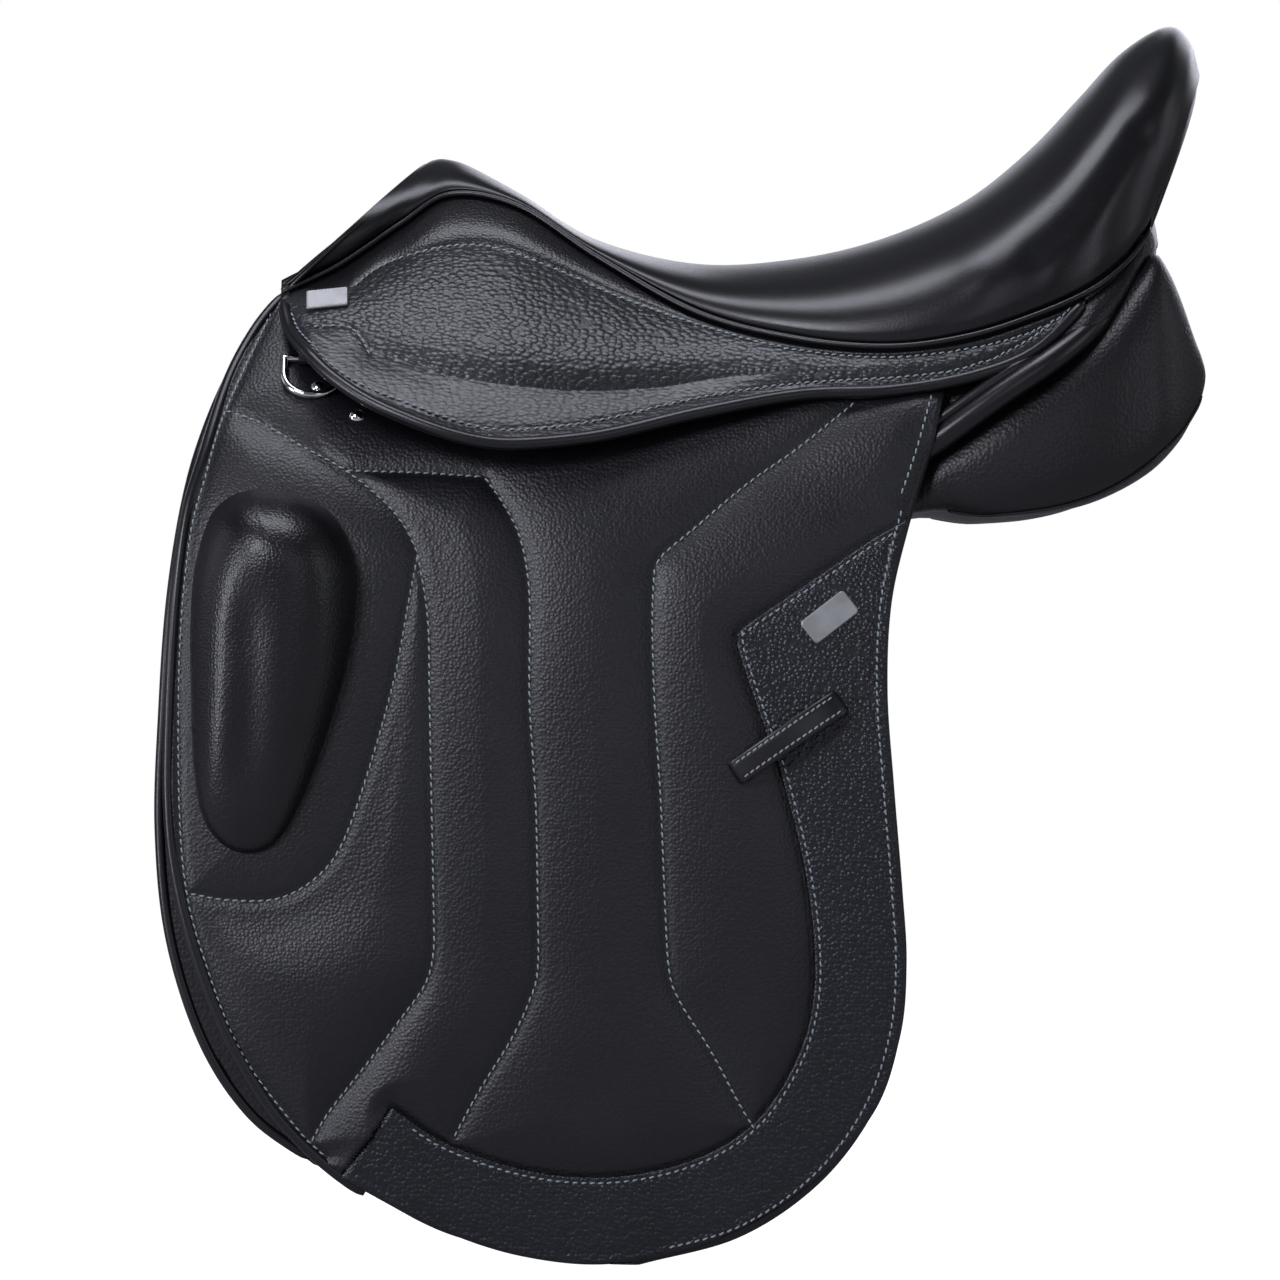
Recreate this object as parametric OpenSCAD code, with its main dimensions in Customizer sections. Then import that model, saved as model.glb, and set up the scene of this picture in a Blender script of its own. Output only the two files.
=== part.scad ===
// English dressage saddle with double flaps, as an assembly of its separate pieces.
// Frame: +Z up, the pommel towards -X, the near (left) side towards -Y, millimetres.
// The origin is on the centre line, at the height of the line on which the panels bear.

/* [Seat] */
// Thickness of the seat leather
seat_leather = 3; // [2:0.5:4]
// Thickness of the foam under the seat leather
seat_foam_depth = 16; // [10:1:18]
// Thickness of the webbing that is strained over the tree
webbing_depth = 1.5; // [1:0.25:2.5]
// Thickness of the tree's rails, head and cantle
tree_depth = 10; // [7:0.5:11]
// Diameter of the welt between seat and skirts
seat_welt_d = 4.6; // [3:0.2:5.4]
// Thickness of the leather that faces the pommel and the cantle
facing_leather = 3; // [2:0.5:4]
// Diameter of the padded roll below the cantle
rear_roll_d = 12; // [8:0.5:14]

/* [Head plate] */
// Thickness of the steel gullet plate
plate_depth = 4; // [3:0.25:4.5]
// Width of the gullet plate along the saddle
plate_w = 24; // [18:1:30]
// Height of the tips of the points
point_tip_z = -5; // [-20:1:10]

/* [Flaps] */
// Height of the line at which the flaps bend
flap_bend_z = 29; // [27:0.5:31]
// Length of the flap below its bend
flap_drop = 389; // [360:1:410]
// Thickness of the flap
flap_leather = 4.5; // [3.5:0.25:5.5]
// Thickness of the sweat flap
sweat_leather = 3; // [2:0.25:4]
// Room between flap and sweat flap, for the girth straps
strap_room = 8; // [7.5:0.25:10]
// Diameter of the rolled front edges of both flaps
flap_welt_d = 5.8; // [4:0.2:6.4]
// Thickness of the grip panel along the flap's rear edge
grip_leather = 1.4; // [1:0.1:2]
// Height of the thigh block over the flap
block_rise = 36; // [24:1:44]

/* [Skirts] */
// Thickness of the padded skirt
skirt_depth = 6; // [4:0.5:7]
// How far the skirt bulges out over the stirrup bar
skirt_bulge = 14; // [13:0.5:18]
// How far the skirt's lower edge stands off the flap at the stirrup bar
skirt_stand = 12; // [11:0.5:16]
// Diameter of the skirt's rolled lower edge
skirt_welt_d = 6; // [4:0.2:6.6]

/* [Panels] */
// Half the width of the channel between the panels
channel_half = 34; // [28:1:40]

/* [Girth straps] */
// Width of a girth strap
strap_w = 25; // [20:1:30]
// Thickness of a girth strap
strap_depth = 3.6; // [2.5:0.2:4]
// Height at which a strap's end hangs
strap_end_z = -306; // [-315:1:-280]
// Radius of a strap's punched holes
strap_hole_r = 3; // [2:0.25:4]
// Distance from one punched hole to the next
strap_hole_pitch = 25; // [20:1:30]
// Number of punched holes in a strap
strap_holes = 7; // [4:1:8]
// Thickness of the web that a strap is sewn to
girth_web_depth = 1.2; // [0.8:0.1:1.6]

/* [Stirrup bars] */
// Length of the bar that carries the stirrup leather
bar_length = 52; // [40:1:58]
// Width of the bar, down the slope
bar_w = 9; // [7:0.5:11]
// Thickness of the bar
bar_depth = 5; // [4:0.25:5.5]
// Room behind the bar, for the stirrup leather
bar_room = 7; // [6:0.25:7.5]
// Thickness of the bar's back plate
bar_plate_depth = 3; // [2:0.25:3.5]
// Radius of the pin that the safety catch turns on
catch_pin_r = 2; // [1.5:0.1:2.4]
// Length of the safety catch behind its pin
catch_length = 15; // [12:1:18]

/* [Small metal] */
// Diameter of the wire of the rings
ring_wire_d = 3.6; // [3:0.2:4]
// Width inside a ring
ring_w = 24; // [20:1:26]
// Drop of a ring below its bar
ring_drop = 22; // [18:1:24]
// Radius of a domed stud
stud_r = 4.6; // [3.5:0.1:5]
// Height of a domed stud
stud_rise = 4; // [3:0.1:4.4]

/* [Keeper] */
// Width of the keeper for the stirrup leather
keeper_w = 11; // [9:0.5:14]
// Thickness of the keeper
keeper_depth = 2.5; // [2:0.25:3.5]
// Room under the keeper
keeper_room = 8; // [7:0.5:10]

/* [Hidden] */

black_leather = "#1d1d21";
grained_leather = "#26272b";
grip_leather_colour = "#20232a";
steel = "#c9cbd0";
beech = "#b08a5a";
web_colour = "#8f8b80";
foam_colour = "#d8d2b8";

// Clearance between pieces that lie on each other
seat_gap = 0.3;
// Half the gap at a flap's bend line, between its fixed and its swinging piece
bend_gap = 0.2;
// Half the gap at a skirt's bend line
skirt_bend_gap = 0.5;
// Distance over which a surface's slope is measured, in shares of its parameters
slope_step = 0.004;

// Ridge of the seat on the centre line, from the pommel to the rear rim: [x, z]
seat_ridge = [
    [-125.5, 177], [-122, 178.6], [-116, 178.8], [-104, 175], [-78, 160.5], [-42, 138.5], [8, 126.5],
    [57, 129], [100, 139], [140, 157], [172, 182], [197, 208], [219, 231.5], [241, 244.5], [256.5, 229]
];
// Lower edge of the seat leather, where the welt is sewn: [x, half breadth, z]
seat_edge = [
    [-190, 74, 121], [-167, 68, 137], [-138, 58, 156], [-113, 54, 163], [-79, 66, 154], [-40, 88, 128],
    [9, 116, 100], [57, 136, 87], [101, 146, 83], [139, 148, 88], [173, 142, 99], [199, 132, 111],
    [216, 118, 124], [225, 104, 135], [229, 92, 143]
];
// How square the seat's cross-section is at each station: 2 is an ellipse
seat_square = [2.1, 2.1, 2.2, 2.3, 2.3, 2.3, 2.3, 2.3, 2.4, 2.5, 2.5, 2.5, 2.4, 2.3, 2.2];
seat_last = len(seat_ridge) - 1;

// Half breadth of the flap's inner face at each height: [z, half breadth]
side_profile = [
    [-400, 170], [-370, 172], [-260, 178], [-180, 179], [-100, 175], [-40, 168], [0, 158.5],
    [30, 144], [60, 122], [85, 101], [110, 80], [140, 55]
];
// Where the flap starts to draw in towards its front edge, and by how much 150 mm further on
wrap_start = -100;
wrap_in = 10;
// Where the flap's top starts to flare out under the wide rear of the seat,
// and by how much 150 mm further on
flare_start = -40;
flare_out = 18;

// Front edge of the flap with its rolled edge, below the bend: [x, share of the drop]
flap_front = [
    [-233, 0], [-241, 0.074], [-246, 0.18], [-248.5, 0.306], [-249, 0.427], [-245, 0.524], [-234, 0.632],
    [-216, 0.74], [-190, 0.838], [-153, 0.917], [-110, 0.964], [-62, 0.995]
];
// Rear edge of the flap, below the bend: [x, share of the drop]
flap_rear = [
    [115, 0], [107, 0.09], [101, 0.185], [99, 0.293], [102, 0.409], [106, 0.537], [108, 0.627],
    [105, 0.717], [92, 0.812], [66, 0.9], [28, 0.966], [-20, 1]
];
// Front and top edge of the fixed head of the flap: [x, z]
head_front = [[-195, 110], [-209, 92], [-222, 66], [-233, 29]];
head_top = [[-195, 110], [-178, 92], [-158, 72], [-124, 62], [-76, 60], [22, 58], [121, 57]];

// Edges of the sweat flap: [x, z]
sweat_front = [
    [-196, 110], [-212, 92], [-226, 66], [-239, 24], [-248, -35], [-252, -95], [-253.5, -151],
    [-248, -205], [-232, -255], [-209, -290], [-180, -312]
];
sweat_rear = [[92, 48], [84, 0], [82, -80], [88, -170], [88, -240], [66, -298]];
sweat_top = [[-196, 110], [-166, 86], [-130, 62], [-60, 52], [20, 50], [92, 48]];
sweat_bottom = [[-180, -312], [-130, -328], [-70, -336], [0, -332], [66, -298]];

// Lower edge of the skirt with its rolled edge, one point at each seat station: [x, z]
skirt_edge = [
    [-194, 101], [-188, 82], [-170, 60], [-138, 41], [-97, 33], [-45, 36], [8, 48], [57, 57],
    [101, 59], [141, 66], [172, 79], [199, 106]
];
skirt_last = len(skirt_edge) - 1;
// How far the skirt stands off the flap at each station, as a share of skirt_stand
skirt_lift = [0.5, 0.95, 1.05, 1, 1, 0.75, 0.35, 0.15, 0.1, 0.1, 0.1, 0.1];
// Straight line at which the skirt bends: [x, z] at its two ends
skirt_bend = [[-193, 97], [140, 65]];
// Stations between which the skirt reaches below its bend line
skirt_from = 0.8;
skirt_to = 8.2;

// Outline of the thigh block, down its front and down its rear side: [x, z]
block_front = [
    [-210, 9], [-226, -4], [-235, -28], [-238, -65], [-236, -110], [-227, -145], [-209, -162]
];
block_rear = [
    [-198, 9.5], [-173, 2], [-158, -20], [-157, -56], [-164, -92], [-178, -135], [-199, -163]
];

// Inner edge of the grip panel, from the rear edge of the flap round to its front end: [x, z]
grip_inner = [
    [103, -7], [68, -29], [28, -58], [32, -82], [48, -128], [60, -176], [64, -218], [56, -257],
    [30, -295], [-15, -314], [-60, -316], [-105, -305], [-140, -285]
];
// Outer edge of the grip panel, on the flap's own edge: [x, z]
grip_outer = [
    [107, -7], [101, -40], [98, -72], [98, -100], [101, -140], [105, -185], [107, -216], [103, -256],
    [78, -307], [20, -348], [-45, -359], [-110, -345], [-163, -318]
];

// Place of the gullet plate's points and the height up to which they lie against the flap's head
point_x = -140;
point_top_z = 84;
// Arch of the gullet plate over the head, on the near side: [x, y, z]
plate_arch = [[-132, -72, 103], [-124, -50, 117], [-114, -25, 125], [-110, 0, 127]];

// Centre line of the padded roll round the back, on the near side: [x, y, z]
roll_line = [
    [123, -150, 36], [152, -151, 57], [180, -146, 76], [206, -132, 96], [224, -106, 119], [234, -70, 132],
    [238, -34, 136], [239, 0, 137]
];

// Ends of the keeper's centre line: [x, z]
keeper_from = [25, -125];
keeper_to = [77, -90];

// Corners of the panel's section at each station: [x, inner bottom, outer bottom, outer top, inner top],
// each as [half breadth, z]; an outer corner that the sweat flap covers is [0, z] and lies against it
panel_stations = [
    [-192, [62, 84], [0, -16], [0, 2], [66, 100]],
    [-178, [52, 74], [0, -42], [0, -14], [64, 106]],
    [-125, [42, 50], [0, -36], [0, -8], [58, 94]],
    [-45, [channel_half, 28], [0, -4], [0, 20], [56, 82]],
    [25, [channel_half, 20], [0, -1], [0, 24], [58, 76]],
    [92, [channel_half, 21], [0, -3], [0, 22], [58, 73]],
    [128, [channel_half, 25], [150, -4], [151, 30], [58, 74]],
    [165, [channel_half, 32], [152, -3], [151, 54], [60, 82]],
    [205, [channel_half, 44], [146, 0], [140, 86], [60, 103]],
    [238, [channel_half + 4, 56], [134, 17], [118, 120], [62, 125]],
    [256.5, [52, 70], [112, 52], [108, 86], [64, 90]]
];

// The tree's loop from the head's centre to the cantle's centre, on the near side:
// [inner seat station, inner share across, outer seat station, outer share across]
tree_loop = [
    [4.5, 0, 3, 0], [4.5, 0.22, 2.9, 0.26], [4.7, 0.42, 3, 0.56], [5.2, 0.45, 4.3, 0.7],
    [6.2, 0.42, 6.0, 0.68], [7.5, 0.42, 7.5, 0.68], [9, 0.42, 9, 0.68], [10.1, 0.4, 10.4, 0.66],
    [10.9, 0.28, 11.8, 0.5], [11.2, 0.14, 12.2, 0.24], [11.3, 0, 12.3, 0]
];

// Depths below the seat's surface of the layers under it
foam_top = seat_leather + seat_gap;
foam_bottom = foam_top + seat_foam_depth;
webbing_top = foam_bottom + seat_gap;
webbing_bottom = webbing_top + webbing_depth;
tree_top = webbing_bottom + 11 * seat_gap;
tree_bottom = tree_top + tree_depth;

// Offsets from the flap's inner face, outwards positive, of the layers at the side
sweat_outer = -strap_room;
sweat_inner = sweat_outer - sweat_leather;
panel_face = sweat_inner - seat_gap;
web_inner = sweat_outer + 3 * seat_gap;
web_outer = web_inner + girth_web_depth;
strap_inner = web_outer + 0.8;
strap_outer = strap_inner + strap_depth;
point_outer = -4 * seat_gap;
point_inner = point_outer - plate_depth;
grip_inner_face = flap_leather + 2 * seat_gap;
grip_outer_face = grip_inner_face + grip_leather;

// Curves

function cubic(p0, p1, p2, p3, t) =
    0.5 * (2 * p1 + (p2 - p0) * t + (2 * p0 - 5 * p1 + 4 * p2 - p3) * t * t
        + (3 * p1 - p0 - 3 * p2 + p3) * t * t * t);

// Point of the smooth curve through a list of points, at a place counted in points
function at(points, u) =
    let (last = len(points) - 1, i = max(0, min(last - 1, floor(u))))
    cubic(i > 0 ? points[i - 1] : 2 * points[0] - points[1], points[i], points[i + 1],
        i < last - 1 ? points[i + 2] : 2 * points[last] - points[last - 1], u - i);

// The same, at a share of the curve from 0 to 1
function on(points, t) = at(points, t * (len(points) - 1));

function mix(a, b, t) = a + (b - a) * t;

// Smooth value at a key, from a list of [key, value] in rising order
function slope_at(table, i) =
    let (a = max(0, i - 1), b = min(len(table) - 1, i + 1))
    (table[b][1] - table[a][1]) / (table[b][0] - table[a][0]);
function segment(table, key, i = 0) =
    i >= len(table) - 2 || key < table[i + 1][0] ? i : segment(table, key, i + 1);
function value_at(table, key) =
    let (
        i = segment(table, key),
        h = table[i + 1][0] - table[i][0],
        t = (key - table[i][0]) / h,
        a = slope_at(table, i) * h,
        b = slope_at(table, i + 1) * h,
        rise = table[i + 1][1] - table[i][1]
    )
    table[i][1] + a * t + (3 * rise - 2 * a - b) * t * t + (a + b - 2 * rise) * t * t * t;

// Patch between four edges that meet at its corners
function patch(top, bottom, front, rear, s, t) =
    mix(on(top, s), on(bottom, s), t) + mix(on(front, t), on(rear, t), s)
    - mix(mix(on(top, 0), on(top, 1), s), mix(on(bottom, 0), on(bottom, 1), s), t);

// Surfaces

function unit(v) = v / norm(v);
function normal_of(form, a, b) =
    unit(cross(form(a + slope_step, b) - form(a - slope_step, b),
        form(a, b + slope_step) - form(a, b - slope_step)));

// Grid of points on a surface, moved along its normal by lift(a, b)
function grid(form, as, bs, lift) =
    [for (b = bs) [for (a = as) form(a, b) + lift(a, b) * normal_of(form, a, b)]];
function steps(from, to, count) = [for (i = [0:count]) from + (to - from) * i / count];
function level(d) = function (a, b) d;

// Seat surface: a runs along the seat in stations, b across it from -1 (near side) to 1
seat_surface = function (a, b)
    let (
        ridge = at(seat_ridge, a),
        edge = at(seat_edge, a),
        power = 2 / at(seat_square, a),
        turn = min(1, abs(b)) * 90,
        across = pow(sin(turn), power),
        drop = 1 - pow(cos(turn), power)
    )
    [mix(ridge[0], edge[0], drop), sign(b) * edge[1] * across, mix(ridge[1], edge[2], drop)];

function ease(t) = let (c = max(0, min(1, t))) c * c * (3 - 2 * c);

// Half breadth of the flap's inner face
function drape(x, z) =
    value_at(side_profile, z) - wrap_in * pow(max(0, wrap_start - x) / 150, 2)
    + flare_out * ease((x - flare_start) / 150) * ease(z / 60);

// Side surfaces: a runs from front to rear and b downwards, both from 0 to 1
function on_side(p) = [p[0], -drape(p[0], p[1]), p[1]];
function up_slope(x, z) = unit(on_side([x, z + 1]) - on_side([x, z - 1]));
function off_side(p, out) = on_side(p) + out * cross([1, 0, 0], up_slope(p[0], p[1]));
function inset(curve, t, d) =
    let (along = unit(curve(t + slope_step) - curve(t - slope_step)))
    curve(t) + d * [-along[1], along[0]];
function flap_point(edge, t) = let (p = on(edge, t)) [p[0], flap_bend_z - bend_gap - flap_drop * p[1]];
flap_front_edge = function (t) flap_point(flap_front, t);
sweat_front_edge = function (t) on(sweat_front, t);
flap_welt_end = 0.8;
flap_surface = function (a, b)
    on_side(mix(inset(flap_front_edge, b, flap_welt_d * (1 - ease((b - flap_welt_end) / 0.08))),
        flap_point(flap_rear, b), a));
head_bottom = [[head_front[3][0], flap_bend_z + bend_gap], [flap_rear[0][0], flap_bend_z + bend_gap]];
head_surface = function (a, b)
    on_side(patch(head_top, head_bottom, [for (i = [0:2]) head_front[i], head_bottom[0]],
        [head_top[len(head_top) - 1], head_bottom[1]], a, b));
function swap_first(points, p) = [p, for (i = [1:len(points) - 1]) points[i]];
sweat_sheet = [for (t = steps(0, 1, len(sweat_front) - 1)) inset(sweat_front_edge, t, flap_welt_d)];
sweat_surface = function (a, b)
    on_side(patch(swap_first(sweat_top, sweat_sheet[0]),
        swap_first(sweat_bottom, sweat_sheet[len(sweat_sheet) - 1]), sweat_sheet, sweat_rear, a, b));
block_surface = function (a, b) on_side(mix(on(block_front, b), on(block_rear, b), a));
grip_surface = function (a, b) on_side(mix(on(grip_outer, b), on(grip_inner, b), a));

// Skirt surface: a is the seat station, b runs from the seam (0) to the lower edge (1)
function skirt_seam(a) = let (p = at(seat_edge, a)) [p[0], -p[1] - 1, p[2] - seat_welt_d - 4 * seat_gap];
function skirt_low(a) =
    let (
        p = at(skirt_edge, a),
        on_flap = drape(p[0], p[1]) + flap_leather + skirt_depth + seat_gap + skirt_stand * at(skirt_lift, a)
    )
    [p[0], -max(on_flap, at(seat_edge, a)[1] + 4), p[1]];
skirt_surface = function (a, b)
    let (top = skirt_seam(a), low = skirt_low(a))
    mix(top, low, b) - [0, skirt_bulge * sin(180 * min(1, max(0, b))) * at(skirt_lift, a), 0];
function bend_z(x) =
    mix(skirt_bend[0][1], skirt_bend[1][1], (x - skirt_bend[0][0]) / (skirt_bend[1][0] - skirt_bend[0][0]));
// Share of the way down the skirt at which station a crosses the bend line
function bend_share(a) =
    let (
        top = skirt_seam(a),
        low = skirt_low(a),
        m = (skirt_bend[1][1] - skirt_bend[0][1]) / (skirt_bend[1][0] - skirt_bend[0][0])
    )
    low[2] > bend_z(low[0]) ? 2 : (bend_z(top[0]) - top[2]) / (low[2] - top[2] - m * (low[0] - top[0]));
function skirt_length(a) = norm(skirt_low(a) - skirt_seam(a));
function bend_share_gap(a) = skirt_bend_gap / skirt_length(a);
// Share of the skirt's depth at station a that a strip of width d along the lower edge takes up
function edge_share(a, d) =
    let (
        edge = unit(skirt_low(a + 0.05) - skirt_low(a - 0.05)),
        down = unit(skirt_low(a) - skirt_seam(a))
    )
    d / skirt_length(a) / norm(cross(edge, down));
function skirt_sheet_end(a) = 1 - edge_share(a, skirt_welt_d + 3 * seat_gap);

// Solids

function quads(rows, cols, base, flip) = [
    for (r = [0:rows - 2], c = [0:cols - 2])
        let (p = base + r * cols + c, q = p + 1, s = p + cols, t = s + 1)
        each flip ? [[p, t, q], [p, s, t]] : [[p, q, t], [p, t, s]]
];
function volume6(points, faces) =
    [for (f = faces) points[f[0]] * cross(points[f[1]], points[f[2]])] * [for (f = faces) 1];

// Closed solid of triangles, turned the right way out
module closed(points, faces) {
    outward = volume6(points, faces) < 0;
    polyhedron(points, outward ? faces : [for (f = faces) [f[2], f[1], f[0]]], convexity = 8);
}

// Solid between two grids of the same size
module slab(front, back) {
    rows = len(front);
    cols = len(front[0]);
    n = rows * cols;
    rim = concat(
        [for (c = [0:cols - 1]) c],
        [for (r = [1:rows - 1]) r * cols + cols - 1],
        [for (c = [1:cols - 1]) n - 1 - c],
        [for (r = [1:rows - 2]) (rows - 1 - r) * cols]
    );
    around = [
        for (i = [0:len(rim) - 1])
            let (p = rim[i], q = rim[(i + 1) % len(rim)])
            each [[q, p, p + n], [q, p + n, q + n]]
    ];
    closed([for (row = front) each row, for (row = back) each row],
        concat(quads(rows, cols, 0, false), quads(rows, cols, n, true), around));
}

// Solid through a list of rings, closed by a cap at each end, or joined end to end
module loft(rings, loop = false) {
    k = len(rings[0]);
    m = len(rings);
    sides = [
        for (i = [0:m - (loop ? 1 : 2)], j = [0:k - 1])
            let (
                a = i * k + j,
                b = i * k + (j + 1) % k,
                c = ((i + 1) % m) * k + j,
                d = ((i + 1) % m) * k + (j + 1) % k
            )
            each [[a, b, d], [a, d, c]]
    ];
    caps = loop ? [] : [
        for (j = [1:k - 2])
            each [[0, j + 1, j], [(m - 1) * k, (m - 1) * k + j, (m - 1) * k + j + 1]]
    ];
    closed([for (r = rings) each r], concat(sides, caps));
}

// Round tube along a path; side is a direction that the path never runs in
module tube(path, d, side = [0, 1, 0], around = 8) {
    last = len(path) - 1;
    loft([
        for (i = [0:last])
            let (
                along = unit(path[min(last, i + 1)] - path[max(0, i - 1)]),
                p = unit(cross(along, side)),
                q = cross(along, p)
            )
            [
                for (j = [0:around - 1])
                    let (turn = 360 * j / around)
                    path[i] + d / 2 * (cos(turn) * p + sin(turn) * q)
            ]
    ]);
}

// Places a piece that is drawn on the near side: 0 is the near side, 1 the off side
module on_hand(hand) {
    if (hand == 0) children();
    else mirror([0, 1, 0]) children();
}

// Frame on the side surface: x along the saddle, y up the slope, z outwards
module on_slope(x, z, out) {
    p = off_side([x, z], out);
    up = up_slope(x, z);
    translate(p) rotate([atan2(up[2], up[1]), 0, 0]) children();
}

// Seat and tree

module seat_cover() {
    as = steps(0, seat_last, 28);
    bs = steps(1, -1, 12);
    color(black_leather)
        slab(grid(seat_surface, as, bs, level(0)), grid(seat_surface, as, bs, level(-seat_leather)));
}

module seat_foam() {
    as = steps(1.5, seat_last - 1.5, 22);
    bs = steps(2 / 3, -2 / 3, 8);
    color(foam_colour)
        slab(grid(seat_surface, as, bs, level(-foam_top)), grid(seat_surface, as, bs, level(-foam_bottom)));
}

module seat_webbing() {
    as = steps(3.5, seat_last - 2.5, 16);
    bs = steps(1 / 2, -1 / 2, 6);
    color(web_colour)
        slab(grid(seat_surface, as, bs, level(-webbing_top)),
            grid(seat_surface, as, bs, level(-webbing_bottom)));
}

module tree() {
    per_side = 20;
    function below(a, b, d) = seat_surface(a, b) - d * normal_of(seat_surface, a, b);
    function ring(t, hand) =
        let (p = on(tree_loop, t), b0 = hand * p[1], b1 = hand * p[3])
        [
            below(p[0], b0, tree_top),
            below(p[2], b1, tree_top),
            below(p[2], b1, tree_bottom),
            below(p[0], b0, tree_bottom)
        ];
    color(beech) loft(concat(
        [for (i = [0:per_side]) ring(i / per_side, -1)],
        [for (i = [1:per_side - 1]) ring(1 - i / per_side, 1)]
    ), loop = true);
}

// A line that ends on the centre plane, with its mirror image joined to it
function both_sides(near) =
    concat(near, [for (i = [1:len(near) - 1]) let (p = near[len(near) - 1 - i]) [p[0], -p[1], p[2]]]);

// Centre line of the gullet plate from the near point over the head to the off point
function plate_path() =
    let (
        tip = point_tip_z,
        mid = (point_outer + point_inner) / 2,
        heights = [tip, tip + 30, tip + 60, point_top_z],
        leg = [for (z = heights) off_side([point_x + (z - tip) * 0.05, z], mid)]
    )
    both_sides(concat(leg, plate_arch));

module gullet_plate() {
    path = plate_path();
    count = 36;
    color(steel) loft([
        for (i = [0:count])
            let (
                p = on(path, i / count),
                along = unit(on(path, min(1, (i + 0.5) / count)) - on(path, max(0, (i - 0.5) / count))),
                flat = plate_w / 2 * [1, 0, 0],
                out = plate_depth / 2 * unit(cross(along, [1, 0, 0]))
            )
            [p - flat - out, p + flat - out, p + flat + out, p - flat + out]
    ]);
}

module seat_welt() {
    path = [
        for (a = steps(0.5, seat_last - 0.5, 26))
            let (p = at(seat_edge, a))
            [p[0], -p[1], p[2] - seat_welt_d / 2 - seat_gap]
    ];
    color(black_leather) for (hand = [0, 1]) on_hand(hand) tube(path, seat_welt_d, around = 6);
}

// Leather that closes the front of the pommel, between the seat's rim and the gullet arch
module pommel_facing() {
    bs = steps(3 / 4, -3 / 4, 10);
    drop = 20;
    rim = [for (b = bs) seat_surface(0, b) - (seat_leather + 3 * seat_gap) * normal_of(seat_surface, 0, b)];
    function low(p) = [p[0] + 2, p[1] * 0.82, p[2] - drop];
    outer = [for (t = steps(0, 1, 3)) [for (p = rim) mix(p, low(p), t) - [3 * sin(180 * t), 0, 0]]];
    color(black_leather) slab(outer, [for (row = outer) [for (p = row) p + [facing_leather, 0, 0]]]);
}

// Leather that closes the back of the cantle below its rim
module cantle_facing() {
    bs = steps(5 / 6, -5 / 6, 10);
    low_z = 144;
    low_x = 236;
    function rim(b) = seat_surface(seat_last, b) - 1.5 * seat_gap * [0.2, 0, 1];
    function inward(b, t) = mix(normal_of(seat_surface, seat_last, b), [1, 0, 0], min(1, 2 * t));
    function outer(b, t) = let (p = rim(b)) mix(p, [low_x, p[1], low_z], t) + [3 * sin(180 * t), 0, 0];
    shares = steps(0, 1, 5);
    color(black_leather)
        slab([for (t = shares) [for (b = bs) outer(b, t)]],
            [for (t = shares) [for (b = bs) outer(b, t) - facing_leather * unit(inward(b, t))]]);
}

// Padded roll that runs round the back, under the seat and over the panels
roll_path = both_sides(roll_line);
module rear_roll() {
    path = [for (t = steps(0, 1, 44)) on(roll_path, t)];
    color(black_leather) tube(path, rear_roll_d, side = [0, 0, 1], around = 8);
}

// Panels

function squircle(turn) =
    let (c = cos(turn), s = sin(turn), power = 0.62)
    [sign(c) * pow(abs(c), power), sign(s) * pow(abs(s), power)];
function panel_corner(x, p) =
    p[0] > 0 ? p : let (q = off_side([x, p[1]], panel_face - 3 * seat_gap)) [-q[1], q[2]];
function panel_ring(t) =
    let (
        corners = [for (k = [1:4]) [for (s = panel_stations) panel_corner(s[0], s[k])]],
        x = on([for (s = panel_stations) [s[0], 0]], t)[0],
        c = [for (k = [0:3]) on(corners[k], t)]
    )
    [
        for (j = [0:13])
            let (
                q = (squircle(360 * (j + 0.5) / 14) + [1, 1]) / 2,
                p = mix(mix(c[0], c[1], q[0]), mix(c[3], c[2], q[0]), q[1])
            )
            [x, -p[0], p[1]]
    ];
module panel() {
    color(black_leather) loft([for (i = [0:26]) panel_ring(i / 26)]);
}

// Leather strip from under the skirt's tail down to the rear roll
module panel_facing() {
    first = 8.2;
    last = 9.6;
    roll_share = 1.35 / 14;
    function inward(a) = let (d = at(seat_edge, a + 0.1) - at(seat_edge, a - 0.1)) unit([d[1], d[0], 0]);
    function top(a) = let (p = at(seat_edge, a)) [p[0], -p[1], p[2] - 10] + 15 * inward(a);
    function low(a) =
        on(roll_path, (a - first) / (last - first) * roll_share)
        + [0, 0, rear_roll_d / 2 + 2 * seat_gap] + 3 * inward(a);
    outer = [
        for (t = [0, 0.5, 1])
            [for (a = steps(first, last, 10)) mix(top(a), low(a), t) + 3 * sin(180 * t) * inward(a)]
    ];
    inner = [
        for (t = [0, 0.5, 1])
            [
                for (a = steps(first, last, 10))
                    mix(top(a), low(a), t) + (3 * sin(180 * t) + facing_leather) * inward(a)
            ]
    ];
    color(black_leather) slab(outer, inner);
}

// Flaps

module sweat_flap() {
    as = steps(0, 1, 8);
    bs = concat(steps(0, 0.36, 7), steps(0.44, 1, 7));
    color(grained_leather)
        slab(grid(sweat_surface, as, bs, level(-sweat_outer)),
            grid(sweat_surface, as, bs, level(-sweat_inner)));
}

module sweat_welt() {
    out = (sweat_outer + sweat_inner) / 2;
    from_edge = flap_welt_d / 2 - 2 * seat_gap;
    path = [for (t = steps(0.02, 1, 22)) off_side(inset(sweat_front_edge, t, from_edge), out)];
    color(black_leather) tube(path, flap_welt_d, around = 6);
}

module flap_head() {
    as = steps(0, 1, 12);
    bs = steps(0, 1, 4);
    color(grained_leather)
        slab(grid(head_surface, as, bs, level(-flap_leather)), grid(head_surface, as, bs, level(0)));
}

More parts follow.
